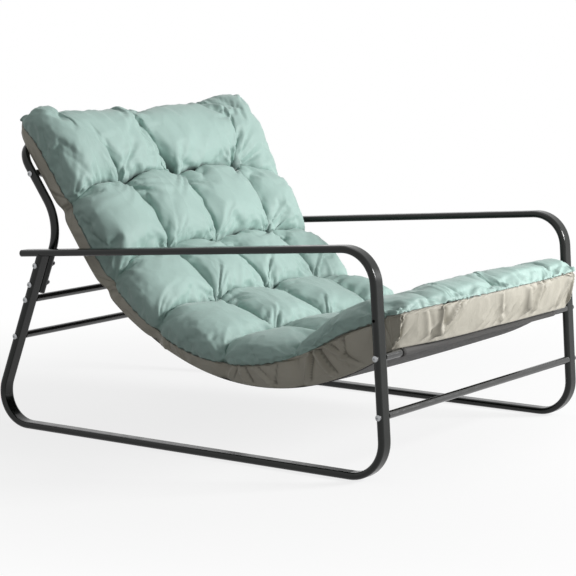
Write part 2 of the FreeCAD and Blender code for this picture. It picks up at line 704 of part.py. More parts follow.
def phase_at(ends, distance):
    """Place counted in puffs of a distance from the top end."""
    puff = max(index for index in range(PUFF_ROWS) if distance >= ends[index])
    return puff + share_of(distance, ends[puff], ends[puff + 1])


def cushion_stations(stretches):
    """Distances along the underside, one of them right where it leaves the front sling bar."""
    lengths = [length for length, locate in stretches]
    ends = puff_ends(sum(lengths))
    phases = [row + step for row in range(PUFF_ROWS) for step in PUFF_STEPS]
    phases += [step for step in END_STEPS] + [PUFF_ROWS - step for step in END_STEPS]
    knee = sum(lengths[:-1])
    clear = (ends[-1] - ends[-2]) * (PUFF_STEPS[1] - PUFF_STEPS[0]) / 2
    distances = [distance_at(ends, phase) for phase in phases]
    return sorted(set([distance for distance in distances if abs(distance - knee) > clear] + [knee]))


def corner_cut(radius, from_end):
    """How much narrower a rounded corner leaves one side at a distance from the corner's end."""
    if from_end >= radius:
        return 0.0
    return radius - math.sqrt(radius ** 2 - (radius - from_end) ** 2)


def cushion_outline(phase, to_front):
    """Half width and heights of the cross-section at a place counted in puffs from the top end.

    The heights are those of the seam, the core, the crown, the shoulder and the groove.
    """
    from_end = min(phase, PUFF_ROWS - phase)
    fullness = TOP_FULLNESS if phase < HALF_PUFF else FRONT_FULLNESS
    roundness = mix(fullness, 1.0, math.sin(min(from_end / END_ROUND, 1.0) * math.pi / 2))
    swell = 1.0
    if from_end > HALF_PUFF:
        swell = abs(math.sin(math.pi * (phase % 1))) ** SWELL_POWER
    seam = mix(size("seam_back"), size("seam_seat"), share_of(phase, *SEAM_CLIMB))
    seam = mix(seam, size("seam_front"), to_front)
    core = mix(min(size("core_height"), seam), size("seam_front"), to_front)
    crown = mix(size("ridge_height"), size("puff_height"), swell)
    groove = mix(size("tuft_height"), size("groove_height"), swell)
    groove = mix(groove, crown, GROOVE_FADE * max(to_front, share_of(phase, HALF_PUFF, 0)))
    shoulder = mix(seam, crown, SHOULDER_RISE)
    half = seam_half + mix(size("cushion_flare"), 0, share_of(phase, *FLARE_ROWS))
    half -= size("side_pinch") * (1 - swell)
    return [half, seam, core] + [mix(core, height, roundness) for height in (crown, shoulder, groove)]


def closed_wire(points):
    """Outline through stretches of two points, a line, or three, an arc."""
    curves = [Part.Arc(*stretch) if len(stretch) == 3 else Part.LineSegment(*stretch)
              for stretch in points]
    return Part.Wire([curve.toShape() for curve in curves])


def cushion():
    """Two lofts that meet at the seam: the top with its puffs and the base under it."""
    stretches = underside()
    total = sum(length for length, locate in stretches)
    ends = puff_ends(total)
    column = seam_half - size("side_puff")
    middle = size("tuft_shift")
    tops = []
    bases = []
    for index, distance in enumerate(cushion_stations(stretches)):
        at, up = station_at(stretches, distance)
        to_front = share_of(distance, total - size("front_blend"), total)
        tilt = mix(math.atan2(-up.y, up.z), front_lean, to_front)
        up = V(0, -math.sin(tilt), math.cos(tilt))
        half, seam, core, crown, shoulder, groove = cushion_outline(phase_at(ends, distance), to_front)
        half -= corner_cut(size("top_corner"), distance)
        half -= corner_cut(size("front_corner"), total - distance)
        foot = half - size("cushion_tuck")
        bulge = half - size("side_bulge")
        outer = half - size("crown_inset")
        inner = half - size("shoulder_inset")
        roll_x = mix(half, inner, EDGE_MIDDLE) + EDGE_ROUND * (shoulder - seam)
        roll_height = mix(seam, shoulder, EDGE_MIDDLE) + EDGE_ROUND * size("shoulder_inset")

        def spot(x, height):
            return across(x, at) + up * height

        shared = [(spot(half, seam), spot(column, core)),
                  (spot(column, core), spot(-column, core)),
                  (spot(-column, core), spot(-half, seam))]
        tufts = [(middle - column, groove), (middle, groove), (middle + column, groove)]
        knots = [(-inner, shoulder), *tufts, (inner, shoulder)]
        crowns = (-outer, middle - column / 2, middle + column / 2, outer)
        puffs = [(spot(*first), spot(x, crown), spot(*second))
                 for first, x, second in zip(knots, crowns, knots[1:])]
        puffs.insert(0, (spot(-half, seam), spot(-roll_x, roll_height), spot(-inner, shoulder)))
        puffs.append((spot(inner, shoulder), spot(roll_x, roll_height), spot(half, seam)))
        sides = [(spot(-half, seam), spot(-bulge, seam / 2), spot(-foot, 0)),
                 (spot(-foot, 0), spot(foot, 0)),
                 (spot(foot, 0), spot(bulge, seam / 2), spot(half, seam))]
        tops.append(add("Part::Feature", "top_section_%d" % index, Shape=closed_wire(shared + puffs)))
        bases.append(add("Part::Feature", "base_section_%d" % index, Shape=closed_wire(shared + sides)))
    return [add("Part::Loft", label, Sections=sections, Solid=True, Ruled=True)
            for label, sections in (("cushion_top", tops), ("cushion_base", bases))]


# Build, check and write


def main():
    nodes = side_frame() + armrest_caps() + back_frame() + cross_bars() + back_frame_bolts()
    nodes += sling() + cushion()
    doc.recompute()
    failed = [item.Label for item in doc.Objects if {"Invalid", "Error"} & set(item.State)]
    bad = [node.Label for node in nodes if node.Shape.isNull() or not node.Shape.isValid()]
    if failed or bad:
        raise RuntimeError("failed: %s, not valid: %s" % (failed, bad))
    os.makedirs("parts", exist_ok=True)
    for node in nodes:
        node.Shape.exportStep("parts/%s.step" % node.Label)
        print(node.Label, len(node.Shape.Solids), "solids", round(node.Shape.Volume / 1000, 2), "cm3")


main()
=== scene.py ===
"""Sling lounge chair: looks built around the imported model, in metres.

+Z is up and the chair faces -Y, so the sitter's right is at -X. The cushion is worked out on
its own underside: across the chair, along the underside from its top end, and up from it.
"""

import math

import bpy
import numpy as np
from mathutils import Matrix, Vector


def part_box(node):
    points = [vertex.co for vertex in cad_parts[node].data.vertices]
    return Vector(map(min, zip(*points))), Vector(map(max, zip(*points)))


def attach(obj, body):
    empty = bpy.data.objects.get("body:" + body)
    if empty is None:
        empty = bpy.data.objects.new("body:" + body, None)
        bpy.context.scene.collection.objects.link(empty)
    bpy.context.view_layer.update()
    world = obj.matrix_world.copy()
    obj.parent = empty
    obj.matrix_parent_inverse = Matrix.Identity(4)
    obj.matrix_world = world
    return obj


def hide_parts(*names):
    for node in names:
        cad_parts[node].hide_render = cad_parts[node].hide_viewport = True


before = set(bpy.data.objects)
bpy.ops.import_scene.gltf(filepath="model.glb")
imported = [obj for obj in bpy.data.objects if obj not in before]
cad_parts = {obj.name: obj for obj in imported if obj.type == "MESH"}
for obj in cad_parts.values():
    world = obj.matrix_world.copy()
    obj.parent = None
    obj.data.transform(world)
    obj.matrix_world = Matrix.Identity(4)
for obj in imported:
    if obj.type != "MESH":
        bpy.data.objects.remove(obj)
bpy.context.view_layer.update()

bl_info = {
    "name": "Sling lounge chair",
    "version": (1, 0, 0),
    "blender": (4, 5, 0),
    "location": "View3D > Sidebar > Lounge chair",
    "description": "Dresses the sling lounge chair: tube coating, fasteners, sling, "
                   "tufted cushion and stage",
    "category": "Object",
}

FRAME_BODY = "frame"
CUSHION_BODY = "cushion"


def middle_of(node):
    """Centre of a CAD node's box in the side view, as (y, z)."""
    low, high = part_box(node)
    return np.array([(low.y + high.y) / 2, (low.z + high.z) / 2])


FRONT_BAR = middle_of("front_sling_bar")
BACK_BAR = middle_of("back_sling_bar")
BAR_RADIUS = (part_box("front_stretcher")[1].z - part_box("front_stretcher")[0].z) / 2
SLING_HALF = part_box("sling")[1].x


# Sizes and colours


class SlingSizes(bpy.types.PropertyGroup):
    """Sizes of the fabric sling."""

    thickness: bpy.props.FloatProperty(
        name="Thickness", description="Sling fabric", default=0.0013, unit="LENGTH", precision=4)
    bar_gap: bpy.props.FloatProperty(
        name="Bar gap", description="Middle of the fabric off the bar it wraps",
        default=0.0009, unit="LENGTH", precision=4)
    sag_radius: bpy.props.FloatProperty(
        name="Sag radius", description="Sling between the front bar and the straight of the back",
        default=0.552, unit="LENGTH")
    back_angle: bpy.props.FloatProperty(
        name="Back angle", description="Slope of the back", default=math.radians(54.5), subtype="ANGLE")
    sleeve_opening: bpy.props.FloatProperty(
        name="Sleeve opening", description="Part of a bar that its sleeve leaves to the seat",
        default=math.radians(60.0), subtype="ANGLE")
    flap: bpy.props.FloatProperty(
        name="Flap", description="End of a sleeve sewn to the sling behind the bar",
        default=0.034, unit="LENGTH")
    notch_width: bpy.props.FloatProperty(
        name="Notch", description="Cut back at each end of the front sleeve",
        default=0.020, unit="LENGTH")
    belly: bpy.props.FloatProperty(
        name="Belly", description="Middle of the sling lower than its edges",
        default=0.006, unit="LENGTH")
    hem: bpy.props.FloatProperty(
        name="Hem", description="Turned edge along both sides", default=0.024, unit="LENGTH")


class CushionSizes(bpy.types.PropertyGroup):
    """Sizes of the tufted cushion."""

    reach: bpy.props.FloatProperty(
        name="Reach", description="Cushion past the back sling bar", default=0.108, unit="LENGTH")
    lead: bpy.props.FloatProperty(
        name="Lead", description="Underside ahead of the front sling bar", default=0.027, unit="LENGTH")
    front_lean: bpy.props.FloatProperty(
        name="Front lean", description="Forward lean of the front face",
        default=math.radians(8.5), subtype="ANGLE")
    front_blend: bpy.props.FloatProperty(
        name="Front blend", description="Underside over which the front face turns upright",
        default=0.12, unit="LENGTH")
    half_width: bpy.props.FloatProperty(
        name="Half width", description="Seam from the middle, on the seat",
        default=0.363, unit="LENGTH")
    tuck: bpy.props.FloatProperty(
        name="Tuck", description="Underside narrower than the seam, on the seat",
        default=0.014, unit="LENGTH")
    ears: bpy.props.FloatProperty(
        name="Ears", description="Top corners past the middle of the top edge",
        default=0.030, unit="LENGTH")
    crown: bpy.props.FloatProperty(
        name="Crown", description="Puffs before they swell", default=0.106, unit="LENGTH")
    tuft: bpy.props.FloatProperty(
        name="Tuft", description="Bottom of a tuft", default=0.044, unit="LENGTH")
    cell: bpy.props.FloatProperty(
        name="Cell", description="Spacing of the cloth's threads in the simulation",
        default=0.0075, unit="LENGTH")
    ease: bpy.props.FloatProperty(
        name="Ease", description="Cloth larger than its drawn shape, as a share", default=0.07)
    pressure: bpy.props.FloatProperty(
        name="Pressure", description="Filling pressure in the simulation", default=2.0)
    settle_frames: bpy.props.IntProperty(
        name="Settling", description="Frames that the cloth is given to settle", default=26)


class ChairColours(bpy.types.PropertyGroup):
    """Colours of the finishes, linear."""

    coat: bpy.props.FloatVectorProperty(
        name="Powder coat", description="Side frames and back frame", subtype="COLOR",
        size=3, default=(0.0048, 0.0066, 0.0052), min=0, max=1)
    bar: bpy.props.FloatVectorProperty(
        name="Cross bars", description="Satin enamel of the cross bars", subtype="COLOR",
        size=3, default=(0.011, 0.012, 0.011), min=0, max=1)
    zinc: bpy.props.FloatVectorProperty(
        name="Zinc", description="Bolts, nuts and inserts", subtype="COLOR",
        size=3, default=(0.38, 0.39, 0.40), min=0, max=1)
    plastic: bpy.props.FloatVectorProperty(
        name="Plastic", description="Caps, plugs and saddle washers", subtype="COLOR",
        size=3, default=(0.014, 0.014, 0.014), min=0, max=1)
    sling: bpy.props.FloatVectorProperty(
        name="Sling", description="Woven sling fabric", subtype="COLOR",
        size=3, default=(0.043, 0.041, 0.038), min=0, max=1)
    mint: bpy.props.FloatVectorProperty(
        name="Mint", description="Top panel of the cushion", subtype="COLOR",
        size=3, default=(0.380, 0.532, 0.487), min=0, max=1)
    taupe: bpy.props.FloatVectorProperty(
        name="Taupe", description="Sides and underside of the cushion", subtype="COLOR",
        size=3, default=(0.480, 0.456, 0.384), min=0, max=1)
    floor: bpy.props.FloatVectorProperty(
        name="Floor", description="Floor and backdrop", subtype="COLOR",
        size=3, default=(0.9, 0.9, 0.9), min=0, max=1)


def settings(name):
    """One of the scene's groups of sizes and colours."""
    return getattr(bpy.context.scene, name)


# Rows and columns of tufts: rows as shares of the underside from its top end, columns from the middle
TUFT_ROWS = (0.163, 0.315, 0.467, 0.628, 0.788)
TUFT_COLUMNS = (-0.197, 0.012, 0.218)
# How far each tuft, row by row, is off its column
TUFT_SHIFTS = (
    (-0.009, -0.020, -0.010),
    (0.018, -0.017, -0.012),
    (0.028, 0.016, 0.008),
    (0.026, 0.024, 0.014),
    (0.022, 0.020, 0.012),
)
# How far each row's crease runs down from the outer tufts to the cushion's right and left edge
RIGHT_DROOP = (0.012, 0.027, 0.0, -0.004, -0.006)
LEFT_DROOP = (0.046, 0.022, 0.024, 0.008, -0.006)
# Long folds of the top panel: row and column of the tuft, how far across and along, and depth
LONG_FOLDS = (
    (0, 2, 0.160, -0.086, 0.015),
    (0, 0, -0.056, -0.090, 0.013),
    (0, 1, -0.060, -0.130, 0.008),
    (0, 2, -0.050, -0.120, 0.006),
    (1, 0, -0.090, -0.040, 0.008),
    (2, 0, -0.085, -0.050, 0.008),
    (1, 2, 0.080, -0.070, 0.008),
    (2, 1, -0.020, -0.085, 0.006),
    (3, 0, -0.080, -0.030, 0.007),
)


# Nodes of a material


class Shader:
    """Small helper that adds and links the nodes of one material."""

    def __init__(self, name):
        self.material = bpy.data.materials.new(name)
        self.material.use_nodes = True
        self.tree = self.material.node_tree
        self.body = next(n for n in self.tree.nodes if n.type == "BSDF_PRINCIPLED")

    def add(self, kind, values=(), **options):
        """Adds a node, with values for its sockets and options for the node itself."""
        node = self.tree.nodes.new(kind)
        for name, value in options.items():
            setattr(node, name, value)
        for name, value in dict(values).items():
            self.feed(node.inputs[name], value)
        return node

    def feed(self, socket, value):
        """Links a socket to a node or to another socket, or sets its own value."""
        if isinstance(value, bpy.types.NodeSocket):
            self.tree.links.new(value, socket)
        elif isinstance(value, bpy.types.Node):
            self.tree.links.new(value.outputs[0], socket)
        else:
            socket.default_value = value

    def set(self, **values):
        """Feeds sockets of the main shader, whose names are written with _ for a space."""
        for name, value in values.items():
            self.feed(self.body.inputs[name.replace("_", " ")], value)

    def math(self, operation, first, second=0.0):
        return self.add("ShaderNodeMath", {0: first, 1: second}, operation=operation).outputs[0]

    def ramp(self, value, low, high, to_low=0.0, to_high=1.0):
        """A value's smooth step from low to high, as a value from to_low to to_high."""
        return self.add("ShaderNodeMapRange", {
            "Value": value, "From Min": low, "From Max": high,
            "To Min": to_low, "To Max": to_high}, interpolation_type="SMOOTHSTEP").outputs[0]

    def noise(self, where, scale, detail=2.0, roughness=0.5):
        return self.add("ShaderNodeTexNoise", {
            "Vector": where, "Scale": scale, "Detail": detail, "Roughness": roughness}).outputs[0]

    def blend(self, share, first, second):
        """Mix of two colours; a colour mix has its sockets at these numbers."""
        return self.add("ShaderNodeMix", {0: share, 6: first, 7: second}, data_type="RGBA").outputs[2]

    def bump(self, height, strength, distance, under=None):
        """Normal of a height in metres, on top of another bump's normal where one is given."""
        node = self.add("ShaderNodeBump", {
            "Height": height, "Strength": strength, "Distance": distance})
        if under is not None:
            self.feed(node.inputs["Normal"], under)
        return node.outputs[0]

    def object_place(self):
        return self.add("ShaderNodeTexCoord").outputs["Object"]

    def flat_place(self):
        return self.add("ShaderNodeUVMap", uv_map="flat").outputs[0]

    def value_of(self, name):
        """A value that the mesh holds for each of its points."""
        return self.add("ShaderNodeAttribute", attribute_name=name).outputs["Fac"]


def colour(name, share=1.0):
    """A colour of the settings, made darker or lighter by a share."""
    return tuple(channel * share for channel in getattr(settings("chair_colours"), name)) + (1.0,)


def dress(node, material):
    """Gives a CAD node one finish all over."""
    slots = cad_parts[node].data.materials
    slots.clear()
    slots.append(material)


# Steel that shows where the coat is rubbed
RUBBED_STEEL = (0.10, 0.10, 0.095, 1.0)
# Thread pitch of the two weaves, and stitches of the sling's hem in radians to a metre
CUSHION_THREAD = 0.0009
SLING_THREAD = 0.0017
HEM_STITCHES = 1200.0


def coated_steel(name, tint, roughness, peel, gloss, wear):
    """Baked powder coat: fine orange peel, faint mottling and rubbed edges."""
    shader = Shader(name)
    place = shader.object_place()
    mottle = shader.noise(place, scale=38.0, detail=3.0)
    worn = shader.ramp(shader.add("ShaderNodeNewGeometry").outputs["Pointiness"], 0.60, 0.72)
    patches = shader.ramp(shader.noise(place, scale=160.0, detail=4.0), 0.45, 0.7)
    scuff = shader.math("MULTIPLY", shader.math("MULTIPLY", worn, patches), wear)
    base = shader.blend(mottle, colour(tint, 0.85), colour(tint, 1.2))
    base = shader.blend(scuff, base, RUBBED_STEEL)
    rough = shader.ramp(mottle, 0.3, 0.7, roughness - 0.05, roughness + 0.06)
    grain = shader.noise(place, scale=900.0)
    shader.set(Base_Color=base, Roughness=rough, Specular_IOR_Level=gloss,
               Normal=shader.bump(grain, strength=peel, distance=0.0004))
    return shader.material


def plated_steel(name):
    """Bright zinc with faint turning marks and a little dulling."""
    shader = Shader(name)
    place = shader.object_place()
    dull = shader.noise(place, scale=420.0, detail=3.0)
    marks = shader.noise(place, scale=2200.0)
    shader.set(Base_Color=shader.blend(dull, colour("zinc", 0.82), colour("zinc", 1.08)),
               Metallic=1.0, Roughness=shader.ramp(dull, 0.3, 0.7, 0.28, 0.42),
               Normal=shader.bump(marks, strength=0.08, distance=0.0002))
    return shader.material


def moulded_plastic(name):
    """Matt black moulding with a fine spark-eroded grain."""
    shader = Shader(name)
    place = shader.object_place()
    grain = shader.noise(place, scale=1400.0)
    flow = shader.noise(place, scale=60.0)
    shader.set(Base_Color=shader.blend(flow, colour("plastic", 0.8), colour("plastic", 1.3)),
               Roughness=shader.ramp(grain, 0.3, 0.7, 0.5, 0.66),
               Normal=shader.bump(grain, strength=0.2, distance=0.0003))
    return shader.material


def thread_height(shader, flat, pitch):
    """Plain weave over flat coordinates in metres: two sets of threads, over and under in turn."""
    split = shader.add("ShaderNodeSeparateXYZ", {"Vector": flat})
    turn = math.pi / pitch
    across = shader.math("SINE", shader.math("MULTIPLY", split.outputs[0], turn))
    along = shader.math("SINE", shader.math("MULTIPLY", split.outputs[1], turn))
    return shader.math("MULTIPLY", across, along)


def cushion_cloth(name, tint, seam_shade_share):
    """Fine polyester cover: weave, slubs, soft sheen, fine creasing, shade painted into creases and
    pleats, and a shade line painted along the seam.

    The last argument is the share of the tint that the shade line painted along the seam has.
    """
    shader = Shader(name)
    flat = shader.flat_place()
    place = shader.object_place()
    slub = shader.add("ShaderNodeMapping", {"Vector": flat, "Scale": (900.0, 60.0, 1.0)})
    streak = shader.noise(slub.outputs[0], scale=1.0)
    cloud = shader.ramp(shader.noise(place, scale=7.0, detail=3.0), 0.35, 0.7, 0.0, 0.5)
    # Painted shade: a darker line along the groove of the seam, a few millimetres wide
    seam = shader.ramp(shader.value_of("seam_gap"), 0.0012, 0.0026, 1.0, 0.0)
    # Painted shade in creases and pleat dips: the mesh's crease value darkens the colour towards a
    # shadow tone
    crease = shader.ramp(shader.value_of("crease"), 0.10, 0.55, 0.0, 0.92)
    base = shader.blend(streak, colour(tint, 0.93), colour(tint, 1.05))
    base = shader.blend(cloud, base, colour(tint, 0.88))
    base = shader.blend(shader.math("MULTIPLY", seam, 0.75), base, colour(tint, seam_shade_share))
    base = shader.blend(crease, base, colour(tint, 0.12))
    drawn = shader.add("ShaderNodeMapping", {"Vector": flat, "Scale": (1.0, 0.5, 1.0)})
    wrinkle = shader.add("ShaderNodeTexNoise", {
        "Vector": drawn.outputs[0], "Scale": 16.0, "Detail": 3.0, "Roughness": 0.45, "Offset": 0.9,
        "Gain": 1.2}, noise_type="RIDGED_MULTIFRACTAL").outputs[0]
    rumple = shader.noise(place, scale=26.0, detail=5.0, roughness=0.6)
    weave = thread_height(shader, flat, CUSHION_THREAD)
    normal = shader.bump(rumple, strength=0.26, distance=0.006)
    normal = shader.bump(wrinkle, strength=0.36, distance=0.004, under=normal)
    normal = shader.bump(weave, strength=0.25, distance=0.00025, under=normal)
    shader.set(Base_Color=base, Roughness=shader.ramp(streak, 0.3, 0.7, 0.52, 0.64), Normal=normal,
               Sheen_Weight=0.22, Sheen_Roughness=0.35, Specular_IOR_Level=0.5)
    return shader.material


def sling_cloth(name, half, hem):
    """Coarse coated weave with a stitched hem along both sides."""
    shader = Shader(name)
    flat = shader.flat_place()
    weave = thread_height(shader, flat, SLING_THREAD)
    split = shader.add("ShaderNodeSeparateXYZ", {"Vector": flat})
    cross = shader.math("ABSOLUTE", split.outputs[0])
    offset = shader.math("ABSOLUTE", shader.math("SUBTRACT", cross, half - hem))
    row = shader.ramp(offset, 0.0006, 0.0012, 1.0, 0.0)
    beat = shader.math("SINE", shader.math("MULTIPLY", split.outputs[1], HEM_STITCHES))
    stitch = shader.math("MULTIPLY", row, shader.ramp(beat, -0.3, 0.1))
    cloud = shader.noise(shader.object_place(), scale=9.0, detail=3.0)
    base = shader.blend(shader.ramp(weave, -0.5, 0.5), colour("sling", 0.75), colour("sling", 1.15))
    base = shader.blend(shader.ramp(cloud, 0.35, 0.7, 0.0, 0.4), base, colour("sling", 0.7))
    base = shader.blend(stitch, base, colour("sling", 1.8))
    normal = shader.bump(weave, strength=0.5, distance=0.0005)
    normal = shader.bump(stitch, strength=0.5, distance=0.0008, under=normal)
    shader.set(Base_Color=base, Roughness=shader.ramp(weave, -0.5, 0.5, 0.75, 0.6), Normal=normal,
               Sheen_Weight=0.1)
    return shader.material


# The sling

# Spacing of the points along it, and points across it
SLING_STEP = 0.012
SLING_COLUMNS = 49
# A sewn flap's distance from the sling, in thicknesses, the points of its bend and how full that is
FLAP_LAYER = 1.3
FLAP_POINTS = 8
FLAP_BEND = 0.4
# The notch goes this far past the front sleeve, and eases off over this length
NOTCH_PAST = 0.022
NOTCH_EASE = 0.012


def unit(vector):
    return vector / np.linalg.norm(vector)


class SlingLine:
    """Slack arc and straight run up the back, tangent to the sleeves round both bars."""

    def __init__(self):
        sling = settings("sling_sizes")
        angle = sling.back_angle
        self.run = np.array([math.cos(angle), math.sin(angle)])
        self.normal = np.array([-math.sin(angle), math.cos(angle)])
        self.sleeve = BAR_RADIUS + sling.bar_gap
        self.sag = sling.sag_radius
        touch = BACK_BAR + self.normal * self.sleeve
        to_centre = touch + self.normal * self.sag - FRONT_BAR
        reach = self.sag + self.sleeve
        self.straight = to_centre @ self.run - math.sqrt(reach ** 2 - (to_centre @ self.normal) ** 2)
        self.touch = touch
        self.centre = touch - self.run * self.straight + self.normal * self.sag
        self.spoke = unit(FRONT_BAR - self.centre)
        self.start = math.atan2(self.spoke[1], self.spoke[0])
        self.end = math.atan2(-self.normal[1], -self.normal[0])


def spoke_at(angle):
    """Unit vectors in the side view."""
    return np.stack([np.cos(angle), np.sin(angle)], -1)


def arc_points(centre, radius, start, end, step):
    """Points of an arc in the side view, about a step apart."""
    count = max(2, int(abs(end - start) * radius / step))
    return centre + radius * spoke_at(np.linspace(start, end, count + 1))


def bent_flap(start, heading, end, arrive):
    """Smooth short run between two points with given headings."""
    reach = np.linalg.norm(end - start) * FLAP_BEND
    t = np.linspace(0, 1, FLAP_POINTS + 1)[:, None]
    first = start + heading * reach
    second = end - arrive * reach
    return ((1 - t) ** 3 * start + 3 * (1 - t) ** 2 * t * first
            + 3 * (1 - t) * t ** 2 * second + t ** 3 * end)


def sling_path(step):
    """Points of the sling from the front flap's end to the back one's, and where each stretch ends."""
    sling = settings("sling_sizes")
    line = SlingLine()
    turn = 2 * math.pi - sling.sleeve_opening
    front_angle = math.atan2(-line.spoke[1], -line.spoke[0])
    back_angle = math.atan2(line.normal[1], line.normal[0])
    layer = sling.thickness * FLAP_LAYER
    past_bar = line.sleeve * 2
    front = arc_points(FRONT_BAR, line.sleeve, front_angle + turn, front_angle, step / 3)
    sag = arc_points(line.centre, line.sag, line.start, line.end, step)
    count = int(line.straight / step)
    up = sag[-1] + np.linspace(0, 1, count + 1)[:, None] * (line.touch - sag[-1])
    back = arc_points(BACK_BAR, line.sleeve, back_angle, back_angle - turn, step / 3)
    near = line.start + (past_bar + sling.flap) / line.sag
    far = line.start + past_bar / line.sag
    under = arc_points(line.centre, line.sag + layer, near, far, step / 2)
    front_flap = bent_flap(front[0], unit(front[0] - front[1]), under[-1], unit(under[-2] - under[-1]))
    low = line.touch - line.run * past_bar - line.normal * layer
    lower = low - line.run * sling.flap
    back_flap = bent_flap(back[-1], unit(back[-1] - back[-2]), low, -line.run)
    stretches = [under, front_flap[::-1][1:], front[1:], sag[1:], up[1:], back[1:], back_flap[1:],
                 lower[None, :]]
    ends = np.cumsum([len(stretch) for stretch in stretches])
    return np.concatenate(stretches), ends


def side_normals(points):
    """Unit normals of a polyline in the side view, to the left of its run."""
    run = np.gradient(points, axis=0)
    run /= np.linalg.norm(run, axis=1)[:, None]
    return np.stack([-run[:, 1], run[:, 0]], -1)


def smooth_step(value, low, high):
    """0 up to low, 1 from high on, and smooth between them."""
    t = np.clip((value - low) / (high - low), 0, 1)
    return t * t * (3 - 2 * t)


def grid_faces(rows, columns):
    """Four-sided faces of a grid of points, numbered row by row."""
    index = np.arange(rows * columns).reshape(rows, columns)
    corners = [index[:-1, :-1], index[:-1, 1:], index[1:, 1:], index[1:, :-1]]
    return np.stack(corners, -1).reshape(-1, 4)


def new_piece(name, vertices, faces, material):
    """A smooth-shaded mesh object of one material, in the scene."""
    mesh = bpy.data.meshes.new(name)
    mesh.from_pydata([tuple(v) for v in vertices], [], [tuple(f) for f in faces])
    mesh.validate()
    mesh.polygons.foreach_set("use_smooth", [True] * len(mesh.polygons))
    mesh.materials.append(material)
    piece = bpy.data.objects.new(name, mesh)
    bpy.context.scene.collection.objects.link(piece)
    return piece


def lay_flat(piece, flat):
    """Writes each vertex's place on the flat cut, in metres, as the piece's weave coordinates."""
    layer = piece.data.uv_layers.new(name="flat")
    corners = np.empty(len(piece.data.loops), dtype=np.int64)
    piece.data.loops.foreach_get("vertex_index", corners)
    layer.data.foreach_set("uv", np.asarray(flat, dtype=np.float32)[corners].ravel())


def soft_value(piece, name, values):
    """Writes a value for each vertex, which the piece's material reads."""
    attribute = piece.data.attributes.new(name, "FLOAT", "POINT")
    attribute.data.foreach_set("value", np.asarray(values, dtype=np.float32))


class CHAIR_OT_hang_sling(bpy.types.Operator):
    """Hang the woven sling between the front and back bars"""

    bl_idname = "chair.hang_sling"
    bl_label = "Hang sling"

    def execute(self, context):
        sling = settings("sling_sizes")
        points, ends = sling_path(SLING_STEP)
        steps = np.linalg.norm(np.diff(points, axis=0), axis=1)
        lengths = np.concatenate([[0], np.cumsum(steps)])
        normals = side_normals(points)
        cross = np.linspace(-1, 1, SLING_COLUMNS)
        sleeve_start, sleeve_end, back_start = (lengths[ends[index] - 1] for index in (1, 2, 4))
        notch_start, notch_end = sleeve_start - NOTCH_PAST, sleeve_end + NOTCH_PAST
        cut = smooth_step(lengths, notch_start - NOTCH_EASE, notch_start)
        cut *= 1 - smooth_step(lengths, notch_end, notch_end + NOTCH_EASE)
        half = SLING_HALF - sling.notch_width * cut
        span = np.clip((lengths - sleeve_end) / (back_start - sleeve_end), 0, 1)
        drop = sling.belly * np.sin(math.pi * span)[:, None] * (1 - cross[None, :] ** 2)
        x = half[:, None] * cross[None, :]
        y = points[:, 0][:, None] - normals[:, 0][:, None] * drop
        z = points[:, 1][:, None] - normals[:, 1][:, None] * drop
        vertices = np.stack([x, y, z], -1).reshape(-1, 3)
        cloth = sling_cloth("sling_weave", SLING_HALF, sling.hem)
        faces = grid_faces(len(points), SLING_COLUMNS)
        piece = new_piece("sling_cloth", vertices, faces, cloth)
        along = np.broadcast_to(lengths[:, None], x.shape)
        lay_flat(piece, np.stack([x, along], -1).reshape(-1, 2))
        thick = piece.modifiers.new("thickness", "SOLIDIFY")
        thick.thickness = sling.thickness
        thick.offset = 0.0
        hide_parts("sling")
        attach(piece, FRAME_BODY)
        return {"FINISHED"}


# The cushion

# Underside of the cushion over the sling's surface
CLEARANCE = 0.0004


class Underside:
    """The cushion's underside in the side view, by the distance from its top end."""

    def __init__(self):
        cushion = settings("cushion_sizes")
        line = SlingLine()
        gap = settings("sling_sizes").thickness / 2 + CLEARANCE
        self.line = line
        self.radius = line.sag - gap
        self.top = line.touch + line.run * cushion.reach + line.normal * gap
        slope = math.atan2(-line.spoke[0], -line.spoke[1])
        knee = (line.sleeve + gap) * math.tan(slope / 2)
        self.knee = np.array([FRONT_BAR[0] + knee, FRONT_BAR[1] + line.sleeve + gap])
        self.back = cushion.reach + line.straight
        self.sag = self.radius * (line.end - line.start)
        self.total = self.back + self.sag + cushion.lead + knee
        self.lean = cushion.front_lean
        self.blend = cushion.front_blend

    def place(self, distance):
        """Points and up directions, as two arrays of (y, z)."""
        line = self.line
        shape = np.shape(distance) + (2,)
        on_back = self.top - line.run * np.asarray(distance)[..., None]
        spoke = spoke_at(line.end - (distance - self.back) / self.radius)
        on_sag = line.centre + spoke * self.radius
        on_bar = self.knee - np.stack([distance - self.back - self.sag, np.zeros_like(distance)], -1)
        first = (distance < self.back)[..., None]
        second = (distance < self.back + self.sag)[..., None]
        point = np.where(first, on_back, np.where(second, on_sag, on_bar))
        up = np.where(first, np.broadcast_to(line.normal, shape),
                      np.where(second, -spoke, np.broadcast_to([0.0, 1.0], shape)))
        share = np.clip((distance - self.total + self.blend) / self.blend, 0, 1)
        tilt = np.arctan2(-up[..., 0], up[..., 1]) * (1 - share) + self.lean * share
        return point, np.stack([-np.sin(tilt), np.cos(tilt)], -1)

    def lift(self, across, distance, height):
        """Points in the chair's frame."""
        point, up = self.place(distance)
        at = point + up * np.asarray(height)[..., None]
        return np.stack([np.broadcast_to(across, at.shape[:-1]), at[..., 0], at[..., 1]], -1)


